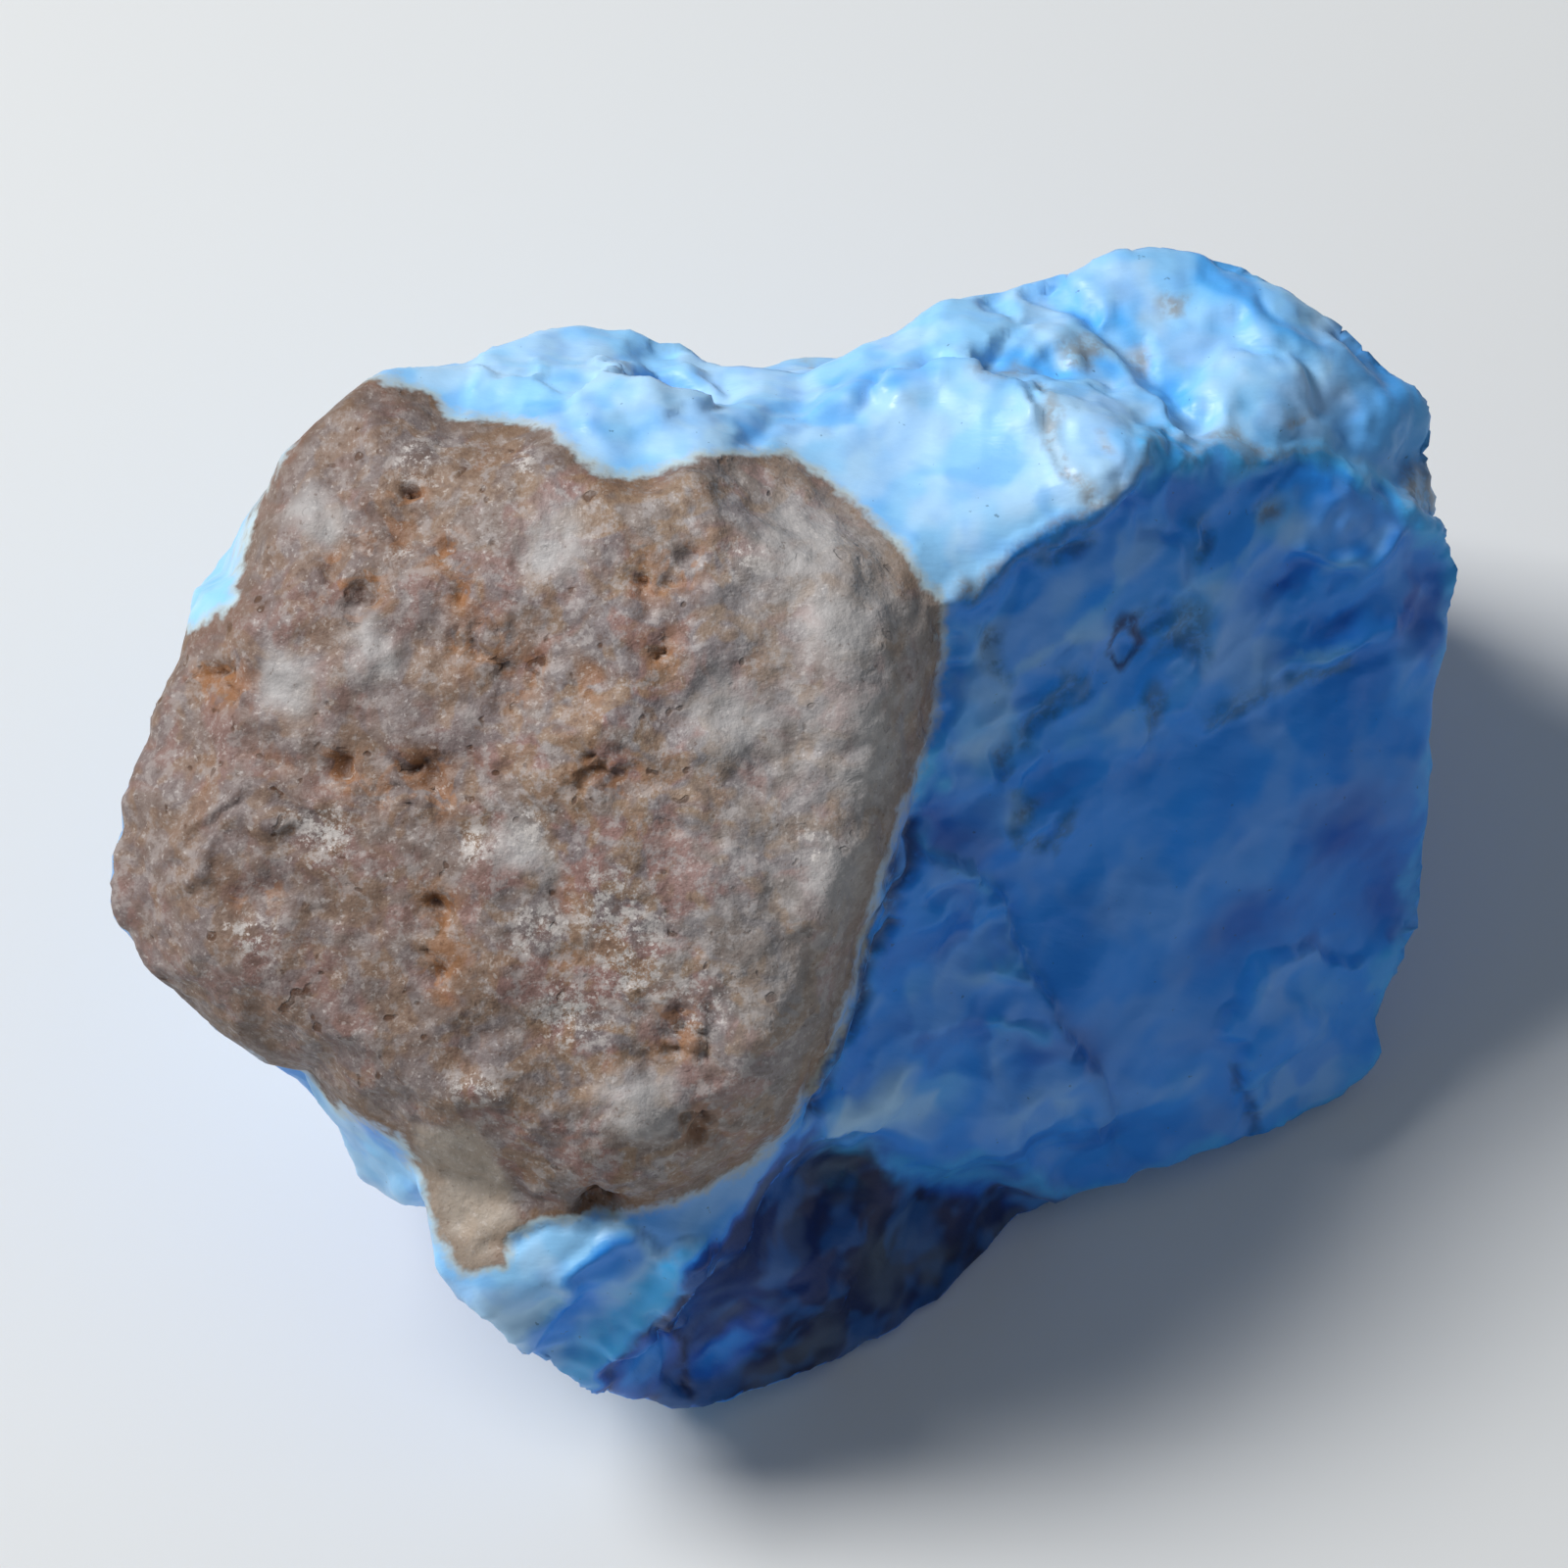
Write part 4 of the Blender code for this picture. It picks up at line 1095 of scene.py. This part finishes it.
# Painted light: a broken lighter turquoise on the thin edges
broken_edge_light = ease(tree, "broken glow", cloud(tree, "glow noise", place, 2.2), 0.3, 0.55, 0.35, 1.0)
edge_light_share = number(tree, "glow share", "MULTIPLY", edge_light_field, broken_edge_light)
blue = mix(tree, "with glow", edge_light_share, blue, EDGE_LIGHT_TURQUOISE)
print("blue side:", len(tree.nodes), "nodes so far")

# %% Flecks, stains and cracks in the opal
MOSS = tone(34, 84, 104)
RUST = tone(132, 96, 58)
CRACK_AND_SHADOW_GREY = tone(30, 46, 92)
PALE_HALO = tone(176, 186, 168)
MOSSY_HALO = tone(52, 112, 168)
SPECK_BLUE = tone(60, 84, 104)
fleck_noise = cloud(tree, "fleck noise", place, 1.0, 3.0, 0.7)
fleck = number(
    tree, "fleck mask", "MULTIPLY", stain_field,
    ease(tree, "flecks", fleck_noise, 0.40, 0.58, 0.30, 1.0),
)
kind = ease(tree, "moss or rust", deep_field, 0.25, 0.60)
fleck_tone = mix(tree, "fleck tone", kind, RUST, MOSS)
blue = mix(tree, "with flecks", number(tree, "fleck strength", "MULTIPLY", fleck, 0.60), blue, fleck_tone)
halo = number(tree, "stain halo", "MULTIPLY", stain_field, 0.22)
blue = mix(tree, "with halo", halo, blue, mix(tree, "halo tone", kind, PALE_HALO, MOSSY_HALO))
crack_and_shadow_noise = cloud(tree, "crack noise", place, 0.9, 3.0)
crack_and_shadow_mask = number(
    tree, "crack mask", "MULTIPLY", crack_and_shadow_field,
    ease(tree, "broken crack", crack_and_shadow_noise, 0.30, 0.50, 0.35, 1.0),
)
blue = mix(
    tree, "with cracks", number(tree, "crack strength", "MULTIPLY", crack_and_shadow_mask, 0.88), blue,
    CRACK_AND_SHADOW_GREY,
)
speck_noise = cloud(tree, "speck noise", place, 0.45, 2.0)
speck = number(tree, "speck mask", "MULTIPLY", ease(tree, "specks", speck_noise, 0.72, 0.78), 0.5)
blue = mix(tree, "with specks", speck, blue, SPECK_BLUE)
print("with flecks:", len(tree.nodes), "nodes")

# %% The rind side
TAN = tone(139, 125, 117)
ROSE = tone(152, 117, 110)
GREY = tone(130, 124, 126)
OCHRE = tone(156, 124, 92)
BROWN = tone(84, 54, 34)
CHALK = tone(198, 190, 184)
PALE_CRYSTAL = tone(184, 176, 174)
UMBER = tone(98, 74, 60)
DULL_BROWN = tone(112, 92, 84)
ORANGE = tone(152, 102, 60)
WAX = tone(176, 172, 170)
HONEY = tone(176, 158, 136)
SAND = tone(226, 218, 212)
rind = mix(tree, "tan and rose", patches(tree, "rose patches", place, 4.2, 0.50, 0.25, 0.8), TAN, ROSE)
grey_patches = patches(tree, "grey patches", place, 3.0, 0.42, 0.22, 1.0)
rind = mix(tree, "with grey", number(tree, "grey share", "MULTIPLY", grey_patches, 0.8), rind, GREY)
ochre_patches = patches(tree, "ochre patches", place, 2.2, 0.34, 0.18, 0.6)
rind = mix(tree, "with ochre", number(tree, "ochre share", "MULTIPLY", ochre_patches, 0.70), rind, OCHRE)
mottle = cloud(tree, "mottle", place, 0.9, 3.0, 0.7)
rind = mix(
    tree, "light mottle", ease(tree, "light mottle share", mottle, 0.50, 0.64, 0.0, 0.55), rind,
    PALE_CRYSTAL,
)
rind = mix(tree, "dark mottle", ease(tree, "dark mottle share", mottle, 0.46, 0.34, 0.0, 0.50), rind, UMBER)
# Painted shade: the rind's left side, nearest the lamp, is painted darker
across = add(tree, "ShaderNodeSeparateXYZ", "across the stone", {"Vector": place}).outputs["X"]
rind = mix(
    tree, "darker left", ease(tree, "left share", across, -0.002, -0.022, 0.0, 0.55), rind,
    DULL_BROWN,
)
rust_field = field(tree, "rust")
chalk_field = field(tree, "chalk")
waxy_and_lit_field = field(tree, "waxy_and_lit")
hollow_mask = ease(tree, "hollows", relief_field, -0.10, -0.60)
rust_noise = patches(tree, "rust patches", place, 1.3, 0.50, 0.22, 0.6)
rusty = number(
    tree, "hollows or pits", "MAXIMUM", number(tree, "hollow part", "MULTIPLY", hollow_mask, 0.7),
    rust_field,
)
rusty = number(
    tree, "rust share", "MULTIPLY", rusty,
    ease(tree, "rust spread", rust_noise, 0.0, 1.0, 0.12, 0.95),
)
rind = mix(tree, "with orange", rusty, rind, ORANGE)
deep_pit = number(tree, "pit share", "MULTIPLY", ease(tree, "pits", relief_field, -0.45, -1.0), 0.9)
rind = mix(tree, "with rust", deep_pit, rind, BROWN)
pin_noise = cloud(tree, "pin hole noise", place, 0.85, 1.0)
pin_place = patches(tree, "pin hole places", place, 5.0, 0.50, 0.15, 0.3)
pin_holes = number(
    tree, "pin holes", "MULTIPLY", ease(tree, "pin hole share", pin_noise, 0.66, 0.73), pin_place,
)
rind = mix(
    tree, "with pin holes", number(tree, "pin hole strength", "MULTIPLY", pin_holes, 0.85), rind,
    BROWN,
)
# Wax tone for the domes, and painted light on the rind's right side
waxy_and_lit_noise = ease(tree, "waxy noise", cloud(tree, "waxy cloud", place, 2.0), 0.3, 0.6, 0.55, 0.92)
waxy_and_lit_share = number(tree, "waxy share", "MULTIPLY", waxy_and_lit_field, waxy_and_lit_noise)
rind = mix(tree, "with waxy domes", waxy_and_lit_share, rind, WAX)
rind = mix(tree, "ochre tongue", field(tree, "tongue"), rind, HONEY)
crust = ease(tree, "chalk patches", cloud(tree, "sugary crust", place, 0.9, 5.0, 0.85), 0.46, 0.60)
chalk_mask = number(
    tree, "chalk share", "MULTIPLY", crust,
    number(tree, "chalk place", "MULTIPLY_ADD", chalk_field, 0.95),
)
tree.nodes["chalk place"].inputs[2].default_value = 0.13
rind = mix(tree, "with chalk", chalk_mask, rind, CHALK)
grain = cloud(tree, "sand grain", place, 0.32, 2.0, 0.6)
rind = mix(tree, "dark grains", ease(tree, "dark grain share", grain, 0.36, 0.26, 0.0, 0.40), rind, BROWN)
bright_grain = ease(tree, "bright grain share", grain, 0.60, 0.70)
sparkle_place = number(tree, "sparkle place", "MULTIPLY_ADD", chalk_field, 0.65)
sparkle = number(tree, "sparkle share", "MULTIPLY", bright_grain, sparkle_place)
tree.nodes["sparkle place"].inputs[2].default_value = 0.25
rind = mix(tree, "bright grains", sparkle, rind, SAND)
print("rind side:", len(tree.nodes), "nodes")

# %% The seam between them
shake = number(tree, "edge shake", "MULTIPLY_ADD", cloud(tree, "edge noise", place, 1.4, 3.0, 0.65), 1.3)
tree.nodes["edge shake"].inputs[2].default_value = -0.65
true_edge = number(tree, "shaken edge", "ADD", edge_field, shake)
rind_mask = ease(tree, "rind mask", true_edge, -0.12, 0.22)
# Painted shade: a darker brown band along the inside of the rind's edge, where the rind curves down
BORDER_SHADE_BROWN = tone(112, 86, 62)
border_shade_share = ease(tree, "border share", true_edge, 1.4, 0.1, 0.0, 0.45)
rind = mix(tree, "shaded border", border_shade_share, rind, BORDER_SHADE_BROWN)
SEAM = tone(196, 190, 160)
blue = mix(tree, "seam on the opal", ease(tree, "seam share", true_edge, -0.55, 0.0, 0.0, 0.6), blue, SEAM)
colour = mix(tree, "rind over opal", rind_mask, blue, rind)
tree.links.new(colour, shader.inputs["Base Color"])
print("seam done:", len(tree.nodes), "nodes")

# %% Gloss and fine bumps
opal_gloss = ease(tree, "opal gloss", cloud(tree, "gloss noise", place, 2.5), 0.35, 0.65, 0.34, 0.50)
rind_gloss = ease(tree, "rind gloss", grain, 0.25, 0.75, 0.66, 0.46)
gloss = add(
    tree, "ShaderNodeMix", "gloss", {0: rind_mask, 2: opal_gloss, 3: rind_gloss}, data_type="FLOAT",
).outputs[0]
tree.links.new(gloss, shader.inputs["Roughness"])
ripple = add(
    tree, "ShaderNodeMapping", "ripple slant",
    {"Vector": place, "Rotation": (0.5, 0.3, 0.6), "Scale": (1.0, 3.0, 1.0)},
).outputs[0]
opal_fine = number(tree, "opal fine", "MULTIPLY", cloud(tree, "ripples", ripple, 1.6, 3.0, 0.5), 0.14)
pin_depth = number(tree, "pin depth", "MULTIPLY", pin_holes, 0.35)
rind_bumps = number(
    tree, "bumps less pin holes", "SUBTRACT", cloud(tree, "rind bumps", place, 0.6, 3.0, 0.6),
    pin_depth,
)
rind_fine = number(tree, "rind fine", "MULTIPLY", rind_bumps, 0.26)
fine = add(
    tree, "ShaderNodeMix", "fine height", {0: rind_mask, 2: opal_fine, 3: rind_fine},
    data_type="FLOAT",
).outputs[0]
bump = add(tree, "ShaderNodeBump", "fine bumps", {"Height": fine, "Strength": 0.9, "Distance": 0.5 * MM})
tree.links.new(bump.outputs["Normal"], shader.inputs["Normal"])
SHEEN_LEVEL = 0.38
OPAL_IOR = 1.45
shader.inputs["Specular IOR Level"].default_value = SHEEN_LEVEL
shader.inputs["IOR"].default_value = OPAL_IOR
stone.data.materials.clear()
stone.data.materials.append(material)
print("material finished:", len(tree.nodes), "nodes,", len(tree.links), "links")

# %% Hand the stone to the frame
for face in stone.data.polygons:
    face.use_smooth = True
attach(stone, "root")
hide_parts("blue_opal")
stone.data.calc_loop_triangles()
print("stone:", len(stone.data.loop_triangles), "triangles")

# %% [markdown]
# ## Floor, light and camera
#
# A plain pale table top, one large soft lamp high on the left like a window, and a weak fill from
# the right. The lamp stays low enough on the left that the big face falls into its own shade,
# which is what makes the ridge read.

# %% Floor
FLOOR_SIZE = 3.0
FLOOR_TONE = tone(226, 226, 224)
bpy.ops.object.select_all(action="DESELECT")
bpy.ops.mesh.primitive_plane_add(size=FLOOR_SIZE, location=(0, 0, 0))
floor = bpy.context.object
floor.name = "floor"
paper = bpy.data.materials.new("pale_floor")
paper.use_nodes = True
paper.node_tree.nodes["Principled BSDF"].inputs["Base Color"].default_value = FLOOR_TONE
paper.node_tree.nodes["Principled BSDF"].inputs["Roughness"].default_value = 0.8
floor.data.materials.append(paper)
print("floor:", floor.dimensions[:])

# %% Lamps and the room's light


def soft_lamp(name, from_view, size, power, colour):
    """A square lamp at a place in the view (right, up, near in metres), aimed at the stone."""
    light = bpy.data.lights.new(name, "AREA")
    light.size = size
    light.energy = power
    light.color = colour
    lamp = bpy.data.objects.new(name, light)
    bpy.context.scene.collection.objects.link(lamp)
    at = UPRIGHT @ Vector(from_view)
    aim = UPRIGHT @ Vector((0, 0, -0.015))
    lamp.location = at
    lamp.rotation_mode = "QUATERNION"
    lamp.rotation_quaternion = (aim - at).to_track_quat("-Z", "Y")
    return lamp


WINDOW_FROM, WINDOW_SIZE, WINDOW_POWER = (-0.44, 0.38, 0.41), 0.26, 5.6
FILL_FROM, FILL_SIZE, FILL_POWER = (0.30, 0.20, 0.55), 0.50, 0.25
ROOM_COLOUR, ROOM_STRENGTH = (0.72, 0.85, 1.0, 1.0), 0.15
soft_lamp("window", WINDOW_FROM, WINDOW_SIZE, WINDOW_POWER, (1.0, 1.0, 1.0))
soft_lamp("fill", FILL_FROM, FILL_SIZE, FILL_POWER, (0.92, 0.96, 1.0))
room = bpy.data.worlds.new("room")
room.use_nodes = True
room.node_tree.nodes["Background"].inputs["Color"].default_value = ROOM_COLOUR
room.node_tree.nodes["Background"].inputs["Strength"].default_value = ROOM_STRENGTH
bpy.context.scene.world = room
bpy.context.scene.view_settings.view_transform = "Standard"

# %% Camera
SENSOR_WIDTH, FOCAL_LENGTH = 36.0, 300.0
lens = bpy.data.cameras.new("eye")
lens.sensor_width = SENSOR_WIDTH
lens.lens = FOCAL_LENGTH
lens.clip_start = 0.01
lens.clip_end = 10.0
eye = bpy.data.objects.new("eye", lens)
bpy.context.scene.collection.objects.link(eye)
eye.matrix_world = UPRIGHT @ Matrix.Translation((0, 0, EYE_DISTANCE * MM))
bpy.context.scene.camera = eye
print("camera at", [round(c, 3) for c in eye.matrix_world.translation])
